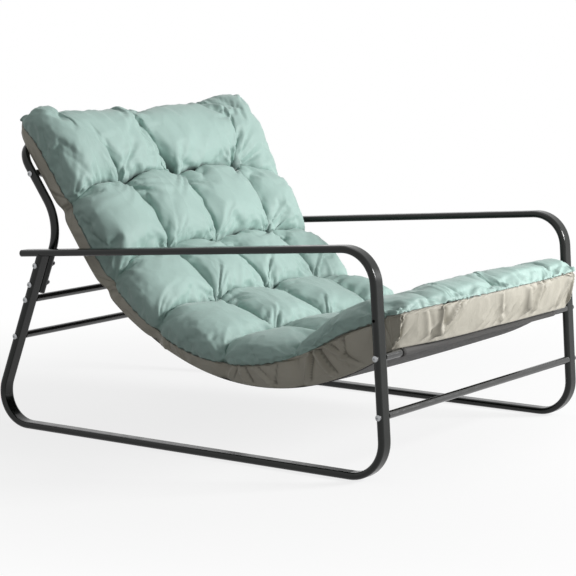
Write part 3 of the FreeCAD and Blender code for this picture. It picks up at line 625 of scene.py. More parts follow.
def spaced(stops, cell, gather):
    """Values from stop to stop, about a cell apart and closer by the stops that have a crease."""
    values = [np.array([stops[0]])]
    marks = [0]
    last = len(stops) - 2
    for index, (low, high) in enumerate(zip(stops, stops[1:])):
        count = max(1, int(round((high - low) / cell)))
        t = np.linspace(0, 1, count + 1)
        wave = gather * np.sin(math.pi * t) / math.pi
        if index == 0:
            t = t + t * wave
        elif index == last:
            t = t - (1 - t) * wave
        else:
            t = t - wave * np.cos(math.pi * t)
        values.append(low + (high - low) * t[1:])
        marks.append(marks[-1] + count)
    return np.concatenate(values), marks


# Cells of the grid across the rolled edges at the sides, the top and the front, and their widths
EDGE_CELLS = 16
TOP_CELLS = 15
FRONT_CELLS = 13
EDGE_ROLL = 0.076
TOP_ROLL = 0.060
FRONT_ROLL = 0.085
# Gathering of the grid's lines towards a crease
LINE_GATHER = 0.5
# Rounded corners of the cushion in plan, on the sitter's right and left
TOP_CORNERS = (0.044, 0.020)
FRONT_CORNERS = (0.040, 0.030)
# How far the front corner on the sitter's right lies back, and over which length, towards the corner
FRONT_SKEW = 0.030
SKEW_LENGTH = 0.25
SKEW_POWER = 3
# Width that the top end gains, or loses below 0, on the sitter's right and left, and where that fades
TOP_FLARES = (-0.004, 0.022)
FLARE_FADE = (0.1, 0.27)
# Pinches of the sides on the sitter's right and left, row by row, their length and their fade inwards
RIGHT_PINCHES = (0.011, 0.011, 0.011, 0.011, 0.011)
LEFT_PINCHES = (0.003, 0.008, 0.011, 0.011, 0.011)
PINCH_LENGTH = 0.016
PINCH_POWER = 4
# Length of the ears along the cushion, and how they grow towards the corners
EAR_LENGTH = 0.22
EAR_POWER = 2.5
# How the creases' droop grows towards the edges, and the share of the row spacing that a crease draws
DROOP_POWER = 1.5
ROW_REACH = 0.3
# Height of the seam over the underside, on the back and at the front, and where it climbs
SEAM_BACK = 0.027
SEAM_FRONT = 0.080
SEAM_CLIMB = (0.50, 0.96)
# Seam higher, or lower below 0, at the front corners on the sitter's right and left
FRONT_LIFTS = (-0.012, 0.008)
# Seam lower at the top corners, over which length, and how narrow a corner is
TOP_FALL = 0.014
TOP_FALL_LENGTH = 0.09
CORNER_NARROW = 6


class CushionGrid:
    """The cushion's two panels as grids that share their edge, the seam."""

    def __init__(self):
        cushion = settings("cushion_sizes")
        self.under = Underside()
        self.half = cushion.half_width
        total = self.total = self.under.total
        half = self.half
        self.row_places = [share * total for share in TUFT_ROWS]
        stops_x = [-half + EDGE_ROLL, *TUFT_COLUMNS, half - EDGE_ROLL]
        stops_s = [TOP_ROLL, *self.row_places, total - FRONT_ROLL]
        inner, column_marks = spaced(stops_x, cushion.cell, LINE_GATHER)
        inner_s, row_marks = spaced(stops_s, cushion.cell, LINE_GATHER)
        side = np.linspace(0, math.pi / 2, EDGE_CELLS + 1)[:-1]
        top = np.linspace(0, math.pi / 2, TOP_CELLS + 1)[:-1]
        front = np.linspace(0, math.pi / 2, FRONT_CELLS + 1)[:-1]
        edge = half - EDGE_ROLL * (1 - np.cos(side))
        self.x = np.concatenate([-edge, inner, edge[::-1]])
        self.rise_x = np.concatenate([np.sin(side), np.ones(len(inner)), np.sin(side)[::-1]])
        self.s = np.concatenate([TOP_ROLL * (1 - np.cos(top)), inner_s,
                                 (total - FRONT_ROLL * (1 - np.cos(front)))[::-1]])
        self.rise_s = np.concatenate([np.sin(top), np.ones(len(inner_s)), np.sin(front)[::-1]])
        self.columns = [EDGE_CELLS + mark for mark in column_marks[1:-1]]
        self.rows = [TOP_CELLS + mark for mark in row_marks[1:-1]]
        self.wide = len(self.x)
        self.long = len(self.s)
        self.rim = np.zeros((self.long, self.wide), dtype=bool)
        self.rim[0, :] = self.rim[-1, :] = self.rim[:, 0] = self.rim[:, -1] = True

    def shares(self):
        """How far points are from the seam at the sides and at the ends: 0 on it, 1 past the roll."""
        u = np.arange(self.wide)
        v = np.arange(self.long)
        side = np.clip(np.minimum(u, self.wide - 1 - u) / EDGE_CELLS, 0, 1)
        end = np.clip(np.minimum(v / TOP_CELLS, (self.long - 1 - v) / FRONT_CELLS), 0, 1)
        shape = self.rim.shape
        return np.broadcast_to(side[None, :], shape), np.broadcast_to(end[:, None], shape)

    def droops(self):
        """How far each row's crease runs down, by the lines across the cushion."""
        right = np.interp(self.x, [-self.half, TUFT_COLUMNS[0]], [1, 0]) ** DROOP_POWER
        left = np.interp(self.x, [TUFT_COLUMNS[-1], self.half], [0, 1]) ** DROOP_POWER
        return [first * right + second * left for first, second in zip(RIGHT_DROOP, LEFT_DROOP)]

    def near_row(self, place):
        """How much a row's crease draws each line along the cushion: 1 on the row."""
        pitch = self.total / (len(TUFT_ROWS) + 1)
        return np.exp(-((self.s - place) / (ROW_REACH * pitch)) ** 2)

    def past_rows(self, s):
        """Shares of the way from the first row to the top end, and from the last row to the front."""
        first, last = self.row_places[0], self.row_places[-1]
        above = np.clip((first - s) / first, 0, 1)
        return above, np.clip((s - last) / (self.total - last), 0, 1)

    def seam_height(self, x, s):
        """Height of the seam over the underside."""
        blend = settings("cushion_sizes").front_blend
        seam = SEAM_BACK + (SEAM_FRONT - SEAM_BACK) * smooth_step(s / self.total, *SEAM_CLIMB)
        front = smooth_step(s, self.total - blend, self.total)
        top = 1 - smooth_step(s, 0.0, TOP_FALL_LENGTH)
        corner = (np.abs(x) / self.half) ** CORNER_NARROW
        return seam + corner * (np.where(x < 0, *FRONT_LIFTS) * front - TOP_FALL * top)

    def outline(self, x, s):
        """Plan coordinates drawn to the cushion's outline: corners, pinches, flare, ears and skew."""
        half, total = self.half, self.total
        ends = (TOP_CORNERS, s, False), (FRONT_CORNERS, total - s, True)
        for radii, reach, at_front in ends:
            radius = np.where(x < 0, *radii)
            p = np.clip(1 - (half - np.abs(x)) / radius, 0, 1)
            q = np.clip(1 - reach / radius, 0, 1)
            inset = radius * (1 - p * np.sqrt(1 - q * q / 2))
            moved = radius * (1 - q * np.sqrt(1 - p * p / 2))
            x = np.where(p > 0, np.sign(x) * (half - inset), x)
            s = np.where(q > 0, total - moved if at_front else moved, s)
        right = x < 0
        edge = (np.abs(x) / half) ** PINCH_POWER
        pinch = np.zeros_like(x)
        rows = zip(self.row_places, RIGHT_DROOP, LEFT_DROOP, RIGHT_PINCHES, LEFT_PINCHES)
        for place, right_droop, left_droop, right_pinch, left_pinch in rows:
            off = s - place - np.where(right, right_droop, left_droop)
            depth = np.where(right, right_pinch, left_pinch)
            pinch = pinch + depth * np.exp(-(off / PINCH_LENGTH) ** 2)
        x = x * (1 - pinch / half * edge)
        flare = np.where(right, *TOP_FLARES)
        x = x * (1 + flare / half * (1 - smooth_step(s / total, *FLARE_FADE)))
        ears = settings("cushion_sizes").ears * np.abs(x / half) ** EAR_POWER
        s = s - ears * (1 - smooth_step(s, 0.0, EAR_LENGTH))
        skew = FRONT_SKEW * np.clip(-x / half, 0, 1) ** SKEW_POWER
        return x, s - skew * smooth_step(s, total - SKEW_LENGTH, total)


def arches(values, stops):
    """One arch, from 0 to 1 and back, between each two stops next to each other."""
    made = np.zeros_like(values)
    for low, high in zip(stops, stops[1:]):
        t = np.clip((values - low) / (high - low), 0, 1)
        made += 4 * t * (1 - t)
    return made


# How far rows arch towards the top end, and columns to the sitter's left, between tufts
ROW_ARCH = 0.018
COLUMN_ARCH = 0.016
# Share of that arch that a row has outside the outer tufts, and the width that a column draws
OUTER_ARCH = 0.6
COLUMN_REACH = 0.085
# How far the creases above the first row lean at the top end, and how fast each fades
TOP_FAN = (-0.095, -0.075, 0.05)
TOP_FADE = (2.4, 1.0, 3.0)
# Domes of the puffs: how full they are, and how far the outermost would reach past the seam
DOME_POWER = 0.5
TOP_DOME = 0.10
FRONT_DOME = 0.07
SIDE_DOME = 0.05
# Puffs at the corners as full as at the edges: 0 for just as full, 1 for far less
CORNER_POWER = 0.1
# Puffs lower towards the top edge
TOP_DROP = 0.008
# Puffs higher towards the front edge, and from and to which share of the way there
FRONT_GAIN = 0.004
FRONT_GAIN_SPAN = (0.1, 0.8)
# Least height of the top panel over its seam
LEAST_RISE = 0.004
# Where creases run out towards the sides, and how much shallower rows are there and between tufts
RUN_OUT = (0.24, 0.34)
ROW_OUT = 0.4
ROW_BETWEEN = 0.36
# How much shallower columns are between tufts and at the front, and half the width of a column's dip
COLUMN_BETWEEN = 0.45
COLUMN_FRONT = 1.1
COLUMN_DIP = 0.09
# How firmly the simulation holds the tufts and pinches, the creases and the seam
TUFT_HOLD = 1.0
ROW_HOLD = 0.6
ROW_HOLD_BETWEEN = 0.5
ROW_HOLD_OUT = 0.7
COLUMN_HOLD = 0.5
SIDE_HOLD = 0.8
FRONT_HOLD = 0.7
TOP_HOLD = 0.5
# Puffs past the seam between two pinches, and how far past the ends the outermost would reach
EDGE_BULGE = 0.024
BULGE_PAST = 0.05


def tufted_plan(grid):
    """Plan coordinates of the top panel, its lines drawn to the creases between the tufts."""
    x, s = np.meshgrid(grid.x, grid.s)
    bow = arches(grid.x, TUFT_COLUMNS)
    outer = [-grid.half, TUFT_COLUMNS[0]], [TUFT_COLUMNS[-1], grid.half]
    bow_out = sum(arches(grid.x, pair) for pair in outer)
    for place, droop in zip(grid.row_places, grid.droops()):
        drawn = droop - ROW_ARCH * (bow + OUTER_ARCH * bow_out)
        s += grid.near_row(place)[:, None] * drawn[None, :]
    sway = arches(grid.s, grid.row_places)
    stops = [0.0, *grid.row_places, grid.total]
    for column, place in enumerate(TUFT_COLUMNS):
        shifts = [row[column] for row in TUFT_SHIFTS]
        wander = np.interp(grid.s, stops, [shifts[0] + TOP_FAN[column], *shifts, shifts[-1]])
        near = np.exp(-((grid.x - place) / COLUMN_REACH) ** 2) * grid.rise_x
        x += (COLUMN_ARCH * sway + wander)[:, None] * near[None, :]
    return x, s


def tufted_height(grid, x, s):
    """Height of the top panel over the underside, and how firmly each of its points is held."""
    cushion = settings("cushion_sizes")
    lesser = np.minimum(grid.rise_x[None, :], grid.rise_s[:, None])
    greater = np.maximum(grid.rise_x[None, :], grid.rise_s[:, None])
    rise = lesser * greater ** CORNER_POWER
    bow = arches(grid.x, TUFT_COLUMNS)
    sway = arches(grid.s, grid.row_places)
    above, beyond = grid.past_rows(grid.s)
    crown = cushion.crown - TOP_DROP * above + FRONT_GAIN * smooth_step(beyond, *FRONT_GAIN_SPAN)
    deep = cushion.crown - cushion.tuft
    out = smooth_step(np.abs(grid.x), *RUN_OUT)
    stops_s = [-TOP_DOME, *grid.row_places, grid.total + FRONT_DOME]
    stops_x = [-grid.half - SIDE_DOME, *TUFT_COLUMNS, grid.half + SIDE_DOME]
    dip_s = 1 - arches(grid.s, stops_s) ** DOME_POWER
    dip_x = 1 - arches(grid.x, stops_x) ** DOME_POWER
    line = deep * (1 - ROW_BETWEEN * bow) * (1 - ROW_OUT * out)
    depth = dip_s[:, None] * line[None, :]
    held = np.zeros_like(rise)
    held[grid.rows, :] = ROW_HOLD * (1 - ROW_HOLD_BETWEEN * bow) * (1 - ROW_HOLD_OUT * out)
    for index, place, top_fade in zip(grid.columns, TUFT_COLUMNS, TOP_FADE):
        fade = np.clip(1 - COLUMN_BETWEEN * sway - top_fade * above - COLUMN_FRONT * beyond, 0, 1)
        near = np.exp(-((grid.x - place) / COLUMN_DIP) ** 4) * dip_x
        depth = np.maximum(depth, near[None, :] * (deep * fade)[:, None])
        held[:, index] = np.maximum(held[:, index], COLUMN_HOLD * fade)
    held[np.ix_(grid.rows, grid.columns)] = TUFT_HOLD
    held[:, [0, -1]] = SIDE_HOLD
    held[-1, :] = FRONT_HOLD
    held[0, :] = TOP_HOLD
    held[np.ix_(grid.rows, [0, -1])] = TUFT_HOLD
    seam = grid.seam_height(x, s)
    return seam + np.maximum(crown[:, None] - seam - depth, LEAST_RISE) * rise, held


def top_shape(grid):
    """The top panel before it swells, how firmly its points are held, and its plan coordinates."""
    x, s = tufted_plan(grid)
    height, held = tufted_height(grid, x, s)
    start, *rows, end = -BULGE_PAST, *grid.row_places, grid.total + BULGE_PAST
    right = EDGE_BULGE * arches(grid.s, [start, *rows, end])
    left = EDGE_BULGE * arches(grid.s, [start, *rows[1:], end])
    bulge = np.where(grid.x[None, :] < 0, right[:, None], left[:, None])
    turn = 2 * grid.rise_x * np.sqrt(1 - np.minimum(grid.rise_x, 1) ** 2) * np.sign(grid.x)
    plan_x, plan_s = grid.outline(x, s)
    top = grid.under.lift(plan_x + bulge * turn[None, :], plan_s, height)
    return top, held, np.stack([x, s], -1)


# Shares of the underside between which the back gives way to the seat
SEAT_START = (0.3, 0.5)
# Underside narrower than the seam on the back, and more so at the front and top corners
BACK_TUCK = 0.002
CORNER_TUCK = 0.020
CORNER_TUCK_LENGTH = 0.11
TOP_TUCK = 0.022
TOP_TUCK_LENGTH = 0.10
# Underside shorter than the seam, at the top and at the front
TOP_FOOT = 0.030
FRONT_FOOT = 0.004
# Underside on the back that spreads again past its tuck, towards the edge
BACK_SPREAD = 0.004
SPREAD_POWER = 4


def base_shape(grid, top):
    """The base panel before it swells, down the sides and flat under the filling, and its holds."""
    cushion = settings("cushion_sizes")
    total = grid.total
    side, end = grid.shares()
    low = np.minimum(side, end)
    on_seat = smooth_step(grid.s / total, *SEAT_START)[:, None]
    tuck = BACK_TUCK + (cushion.tuck - BACK_TUCK) * on_seat
    tuck = tuck + CORNER_TUCK * smooth_step(grid.s, total - CORNER_TUCK_LENGTH, total)[:, None]
    tuck = tuck + TOP_TUCK * (1 - smooth_step(grid.s, 0.0, TOP_TUCK_LENGTH))[:, None]
    inner = np.clip(np.abs(grid.x) / (grid.half - EDGE_ROLL), 0, 1)[None, :]
    wide = np.where(side < 1, grid.half - tuck * side ** 2, inner * (grid.half - tuck))
    facing = np.sign(grid.x)[None, :]
    x = facing * wide
    along = np.interp(grid.s, [0, TOP_ROLL, total - FRONT_ROLL, total],
                      [0.0, TOP_FOOT, total - FRONT_FOOT, total])
    s = np.repeat(along[:, None], grid.wide, axis=1)
    for place, droop in zip(grid.row_places, grid.droops()):
        s += grid.near_row(place)[:, None] * droop[None, :] * (1 - low)
    fall = grid.seam_height(x, s) * (1 - low)
    spread = BACK_SPREAD * (1 - on_seat) * facing * (np.abs(x) / grid.half) ** SPREAD_POWER * low
    plan_x, plan_s = grid.outline(x, s)
    base = grid.under.lift(plan_x + spread, plan_s, fall)
    base[grid.rim] = top[grid.rim]
    return base, np.where(low >= 1, 1.0, 0.0)


def sewn_mesh(grid, top, base):
    """One closed mesh of both panels: vertices, faces and the numbers of the base's vertices."""
    count = grid.wide * grid.long
    numbers = np.arange(count).reshape(grid.rim.shape)
    inside = ~grid.rim
    numbers[inside] = count + np.arange(int(inside.sum()))
    skin = grid_faces(grid.long, grid.wide)
    vertices = np.concatenate([top.reshape(-1, 3), base[inside]])
    return vertices, np.concatenate([skin[:, ::-1], numbers.ravel()[skin]]), numbers


def swell(vertices, faces, held):
    """Settles the closed cover under its filling's pressure and returns its points."""
    cushion = settings("cushion_sizes")
    scene = bpy.context.scene
    mesh = bpy.data.meshes.new("cover_rest")
    mesh.from_pydata([tuple(v) for v in vertices], [], [tuple(f) for f in faces])
    cover = bpy.data.objects.new("cover_rest", mesh)
    scene.collection.objects.link(cover)
    pins = cover.vertex_groups.new(name="held")
    held = np.round(held, 2)
    for weight in np.unique(held[held > 0]):
        pins.add(np.nonzero(held == weight)[0].tolist(), float(weight), "REPLACE")
    cloth = cover.modifiers.new("cloth", "CLOTH")
    values = cloth.settings
    values.quality = 5
    values.mass = 0.25
    values.air_damping = 3.0
    values.tension_stiffness = 25.0
    values.compression_stiffness = 25.0
    values.shear_stiffness = 8.0
    values.bending_stiffness = 0.04
    values.tension_damping = 8.0
    values.compression_damping = 8.0
    values.shear_damping = 8.0
    values.bending_damping = 0.5
    values.vertex_group_mass = "held"
    values.pin_stiffness = 4.0
    values.use_pressure = True
    values.uniform_pressure_force = cushion.pressure
    values.shrink_min = -cushion.ease
    values.effector_weights.gravity = 0.0
    cloth.collision_settings.use_collision = False
    cloth.collision_settings.use_self_collision = False
    for step in range(1, cushion.settle_frames + 1):
        scene.frame_set(step)
    settled = cover.evaluated_get(bpy.context.evaluated_depsgraph_get())
    points = np.empty(len(settled.data.vertices) * 3)
    settled.data.vertices.foreach_get("co", points)
    bpy.data.objects.remove(cover)
    bpy.data.meshes.remove(mesh)
    scene.frame_set(1)
    return points.reshape(-1, 3)


# Most that a point may move as the cover swells, and rounds of evening out the base panel after it
SWELL_MOST = 0.035
CALMING = 30


def capped(start, end, most):
    """Points moved from start towards end, by less and less as they near the most allowed."""
    move = end - start
    length = np.linalg.norm(move, axis=-1, keepdims=True)
    return start + move * (most * np.tanh(length / most) / np.maximum(length, 1e-9))


def calmed(moves, rim):
    """Moves of a panel's points with their ripples evened out, the rim left as it is."""
    calm = moves.copy()
    for _ in range(CALMING):
        padded = np.pad(calm, ((1, 1), (1, 1), (0, 0)), mode="edge")
        around = padded[:-2, 1:-1] + padded[2:, 1:-1] + padded[1:-1, :-2] + padded[1:-1, 2:]
        calm = np.where(rim[..., None], moves, (calm + around / 4) / 2)
    return calm


def filled_panels(grid):
    """Both panels after they swell, and the plan coordinates of the top one, on the finer grid."""
    top, held, plan = top_shape(grid)
    base, base_held = base_shape(grid, top)
    vertices, faces, base_numbers = sewn_mesh(grid, top, base)
    weights = np.concatenate([held.ravel(), base_held[~grid.rim]])
    vertices = capped(vertices, swell(vertices, faces, weights), SWELL_MOST)
    top = vertices[:grid.rim.size].reshape(top.shape)
    base = base + calmed(vertices[base_numbers] - base, grid.rim)
    return finer(top), finer(base), finer(plan)


def finer(panel):
    """A grid of points with one more between each two, on a smooth curve through its neighbours."""
    for axis in (0, 1):
        points = np.moveaxis(panel, axis, 0)
        before = np.concatenate([2 * points[:1] - points[1:2], points[:-2]])
        after = np.concatenate([points[2:], 2 * points[-1:] - points[-2:-1]])
        made = np.empty((2 * len(points) - 1,) + points.shape[1:])
        made[::2] = points
        made[1::2] = (9 * (points[:-1] + points[1:]) - before - after) / 16
        panel = np.moveaxis(made, 0, axis)
    return panel


def outward(panel, turned):
    """Unit normals of a grid of points, out of the cushion."""
    across = np.gradient(panel, axis=1)
    along = np.gradient(panel, axis=0)
    normal = np.cross(across, along) if turned else np.cross(along, across)
    return normal / np.maximum(np.linalg.norm(normal, axis=-1, keepdims=True), 1e-12)


# Sharp line at the bottom of a crease: its depth at a tuft, its width, and where it starts off the seam
CRISP_DEPTH = 0.024
CRISP_WIDTH = 0.0050
CRISP_START = (0.1, 0.6)
# Where the line runs out towards the sides, and how much fainter it is there and between tufts
CRISP_RUN_OUT = (0.24, 0.35)
CRISP_OUT = 0.6
CRISP_ROW_BETWEEN = 0.35
CRISP_COLUMN_BETWEEN = 0.4
# How far a puff laps over a crease, where beside it, how wide, and how steep from the line
LAP = 0.006
LAP_PLACE = 0.007
LAP_WIDTH = 0.010
LAP_SLOPE = 1.4
# Width of the shade painted into a crease under the puff that laps over it, and on the other side
LAP_SHADE = 0.0085
OPEN_SHADE = 0.0045


def lapped(off):
    """How far a puff laps over the crease beside it, and nowhere past the puff across the crease."""
    lap = LAP * np.exp(-((off - LAP_PLACE) / LAP_WIDTH) ** 2)
    return np.minimum(lap, LAP_SLOPE * np.maximum(off, 0))


def shaded(off):
    """How much shade is painted into a crease beside its line, further on the side that the other puff
    laps over.
    """
    return np.exp(-np.abs(off) / np.where(off > 0, LAP_SHADE, OPEN_SHADE))


def sharpened(grid, panel, lines, low):
    """The top panel with sharp creases and puffs lapped over them, and the shade painted into its
    creases at each point.
    """
    x, s = lines[..., 0], lines[..., 1]
    above, beyond = grid.past_rows(s)
    bow = arches(x, TUFT_COLUMNS)
    sway = arches(s, grid.row_places)
    out = smooth_step(np.abs(x), *CRISP_RUN_OUT)
    depth, shade, lap_up, lap_side = (np.zeros_like(x) for _ in range(4))
    line = (1 - CRISP_ROW_BETWEEN * bow) * (1 - CRISP_OUT * out)
    for place in grid.row_places:
        depth = np.maximum(depth, line * np.exp(-np.abs(s - place) / CRISP_WIDTH))
        shade = np.maximum(shade, line * shaded(place - s))
        lap_up += line * lapped(s - place)
    for place, top_fade in zip(TUFT_COLUMNS, TOP_FADE):
        fade = 1 - CRISP_COLUMN_BETWEEN * sway - top_fade * above - COLUMN_FRONT * beyond
        line = np.clip(fade, 0, 1)
        depth = np.maximum(depth, line * np.exp(-np.abs(x - place) / CRISP_WIDTH))
        shade = np.maximum(shade, line * shaded(x - place))
        lap_side += line * lapped(place - x)
    loose = smooth_step(low, *CRISP_START)
    _, up = grid.under.place(s)
    along = lap_up * loose
    inward = CRISP_DEPTH * depth * loose
    moves = np.stack([lap_side * loose, along * up[..., 1] - inward * up[..., 0],
                      -along * up[..., 0] - inward * up[..., 1]], -1)
    return panel + moves, shade * loose


# Cross-section of a fold: how steep and how sharp its ridge is, and the dip's depth, place and width
CREST_RIDGE = (1.2, 1.3)
CREST_DIP = (0.6, 1.6, 0.75)
# Fans of folds round tufts, pinches and the front pleats: how many folds and how high, and their reach
TUFT_FAN = (12, 0.0082)
TUFT_FAN_REACH = (0.11, 0.065, 0.065, 0.065, 0.065)
PINCH_FAN = (7, 0.0050, 0.065)
PLEAT_FAN = 2
PLEAT_FAN_SHARE = 0.5
PLEAT_FAN_REACH = 0.05
# Headings of the fans at the sides and at the front, and half their openings
FROM_RIGHT = (0.0, 1.25)
FROM_LEFT = (math.pi, 1.25)
FROM_FRONT = (-math.pi / 2, 0.8)
# Ranges that a fan's folds are drawn from: place, length, width, height and curl
FAN_PLACES = (0.1, 0.9)
FAN_LENGTHS = (0.5, 1.4)
FAN_WIDTHS = (0.07, 0.17)
FAN_HEIGHTS = (0.35, 1.0)
FAN_CURLS = (-4.0, 4.0)
# Distance from its origin over which a fan rises
FAN_START = (0.004, 0.024)
# Gathers beside rows, columns and seams: spacing, height and reach
ROW_ABOVE = (0.030, 0.0044, 0.055)
ROW_BELOW = (0.034, 0.0030, 0.035)
COLUMN_RIGHT = (0.045, 0.0028, 0.03)
COLUMN_LEFT = (0.040, 0.0034, 0.04)
TOP_SEAM = (0.036, 0.0036, 0.085)
FRONT_SEAM = (0.040, 0.0024, 0.04)
SIDE_SEAM = (0.034, 0.0036, 0.04)
BASE_SIDE = (0.045, 0.0030, 0.05)
BASE_FRONT = (0.050, 0.0016, 0.05)
# Where the gathers beside columns start, from the top end
COLUMN_START = (0.05, 0.12)
# Ranges that gathers are drawn from: step, width, length, lean and height
GATHER_STEPS = (0.5, 1.6)
GATHER_WIDTHS = (0.16, 0.34)
GATHER_LENGTHS = (0.4, 1.5)
GATHER_LEANS = (-0.5, 0.5)
GATHER_HEIGHTS = (0.25, 1.0)
GATHER_START = 0.010
# Long folds: where along them they start and fade, how far they bow, how sharp they are, their width at
# a tuft and what it gains, and the ridges beside them
LONG_START = (-0.02, 0.06)
LONG_FADE = (0.25, 1.0)
LONG_BOW = 0.012
LONG_POWER = 1.4
LONG_WIDTH = 0.006
LONG_SPREAD = 0.008
RIDGE_HEIGHT = 0.4
RIDGE_PLACE = 2.2
# Pleats: width, height to a depth of 1, and how far they run from the seam or from the foot
PLEAT_WIDTH = 0.0068
PLEAT_HEIGHT = 1.3
PLEAT_REACH = 0.075
FOOT_REACH = 0.04
# Depth of a pleat's dip at which its painted shade is full, and the most painted shade that one gets
PLEAT_SHADE = 0.008
PLEAT_DARKEST = 0.34
# Pleats of the base under the front seam: place from the middle, lean and depth
FRONT_PLEATS = (
    (-0.318, 0.25, 0.006), (-0.296, -0.20, 0.004), (-0.235, 0.35, 0.003), (-0.190, 0.05, 0.007),
    (-0.136, -0.85, 0.012), (-0.108, -0.80, 0.006), (0.020, 0.20, 0.003), (0.118, 0.08, 0.009),
    (0.150, -0.60, 0.006), (0.174, -0.35, 0.008), (0.208, -0.90, 0.005), (0.298, -0.80, 0.008),
    (0.332, -0.50, 0.005),
)
# Folds that rise from the foot of the front: place from the middle, lean and depth
FRONT_FEET = (
    (-0.300, 0.6, 0.004), (-0.230, 0.7, 0.004), (-0.060, 0.9, 0.005), (-0.030, 1.0, 0.004),
    (0.000, 0.9, 0.005), (0.026, 1.0, 0.006), (0.060, 0.8, 0.004), (0.096, 0.9, 0.003),
    (0.215, 0.8, 0.006), (0.240, 0.9, 0.005), (0.285, 0.7, 0.004),
)
# Pleats of the base under each pinch of its sides: place from the pinch, lean and depth
SIDE_PLEATS = (
    (-0.010, -0.70, 0.009), (0.006, 0.30, 0.012), (0.034, 0.90, 0.008), (0.085, -0.40, 0.006),
)


def crest(off):
    """Cross-section of one fold: a sharp ridge with a dip beside it."""
    steep, power = CREST_RIDGE
    depth, place, width = CREST_DIP
    return np.exp(-steep * np.abs(off) ** power) - depth * np.exp(-((off - place) / width) ** 2)


def fan_folds(across, along, draw, count, size, reach, sector=(0.0, math.pi)):
    """Folds that radiate from the origin of two plan coordinates, as heights.

    sector is the heading and half the opening of the fan, in radians.
    """
    radius = np.hypot(across, along)
    angle = np.arctan2(along, across)
    made = np.zeros_like(radius)
    for index in range(count):
        heading = sector[0] + sector[1] * (2 * (index + draw.uniform(*FAN_PLACES)) / count - 1)
        length = reach * draw.uniform(*FAN_LENGTHS)
        width = draw.uniform(*FAN_WIDTHS)
        strength = size * draw.uniform(*FAN_HEIGHTS)
        curl = draw.uniform(*FAN_CURLS)
        off = np.angle(np.exp(1j * (angle - heading - curl * radius)))
        made += strength * crest(off / width) * np.exp(-(radius / length) ** 2)
    return made * smooth_step(radius, *FAN_START)


def gathers(along, away, draw, span, pitch, size, reach):
    """Short folds that run off a crease or seam, as heights; away is the distance from it."""
    made = np.zeros_like(along)
    place = span[0]
    while place < span[1]:
        place += pitch * draw.uniform(*GATHER_STEPS)
        width = pitch * draw.uniform(*GATHER_WIDTHS)
        length = reach * draw.uniform(*GATHER_LENGTHS)
        lean = draw.uniform(*GATHER_LEANS)
        height = size * draw.uniform(*GATHER_HEIGHTS)
        off = (along - place - lean * away) / width
        made += height * crest(off) * np.exp(-(away / length) ** 2)
    return made * smooth_step(away, 0.0, GATHER_START)


def long_folds(grid, x, s):
    """Valleys that run off single tufts across the puffs beside them, as heights."""
    made = np.zeros_like(x)
    for row, column, across, along, depth in LONG_FOLDS:
        length = math.hypot(across, along)
        from_x = x - TUFT_COLUMNS[column] - TUFT_SHIFTS[row][column]
        from_s = s - grid.row_places[row]
        far = (from_x * across + from_s * along) / length ** 2
        share = np.clip(far, 0, 1)
        off = (from_x * along - from_s * across) / length + LONG_BOW * np.sin(math.pi * share)
        width = LONG_WIDTH + LONG_SPREAD * share
        fade = smooth_step(far, *LONG_START) * (1 - smooth_step(far, *LONG_FADE))
        ridge = np.exp(-((np.abs(off) - RIDGE_PLACE * width) / width) ** 2)
        made -= depth * fade * np.exp(-np.abs(off / width) ** LONG_POWER)
        made += RIDGE_HEIGHT * depth * fade * ridge
    return made


def pleats(along, away, places, reach):
    """Sharp folds that run off a seam, as heights; away is the distance from it."""
    made = np.zeros_like(along)
    for place, lean, depth in places:
        off = (along - place - lean * away) / PLEAT_WIDTH
        made += PLEAT_HEIGHT * depth * crest(off) * np.exp(-(away / reach) ** 4)
    return made


def top_folds(grid, plan, lines):
    """Folds of the top panel at its tufts, creases and edges."""
    draw = np.random.default_rng(11)
    x, s = plan[..., 0], plan[..., 1]
    line_x, line_s = lines[..., 0], lines[..., 1]
    made = np.zeros_like(x)
    across = (-grid.half, grid.half)
    whole = (0, grid.total)
    for place, shifts, reach in zip(grid.row_places, TUFT_SHIFTS, TUFT_FAN_REACH):
        for middle, shift in zip(TUFT_COLUMNS, shifts):
            made += fan_folds(x - (middle + shift), s - place, draw, *TUFT_FAN, reach)
        for edge, sector in zip(across, (FROM_RIGHT, FROM_LEFT)):
            made += fan_folds(x - edge, line_s - place, draw, *PINCH_FAN, sector)
        up = np.maximum(place - line_s, 0)
        down = np.maximum(line_s - place, 0)
        made += gathers(line_x, up, draw, across, *ROW_ABOVE) * (line_s < place)
        made += gathers(line_x, down, draw, across, *ROW_BELOW) * (line_s >= place)
    inner = smooth_step(line_s, *COLUMN_START)
    for middle in TUFT_COLUMNS:
        right = np.maximum(middle - line_x, 0)
        left = np.maximum(line_x - middle, 0)
        made += inner * gathers(line_s, right, draw, whole, *COLUMN_RIGHT) * (line_x < middle)
        made += inner * gathers(line_s, left, draw, whole, *COLUMN_LEFT) * (line_x >= middle)
    for place, _, depth in FRONT_PLEATS:
        made += fan_folds(x - place, s - grid.total, draw, PLEAT_FAN, PLEAT_FAN_SHARE * depth,
                          PLEAT_FAN_REACH, FROM_FRONT)
    made += long_folds(grid, x, s)
    made += gathers(x, s, draw, across, *TOP_SEAM)
    made += gathers(x, grid.total - s, draw, across, *FRONT_SEAM)
    made += gathers(s, grid.half - np.abs(x), draw, whole, *SIDE_SEAM)
    return made


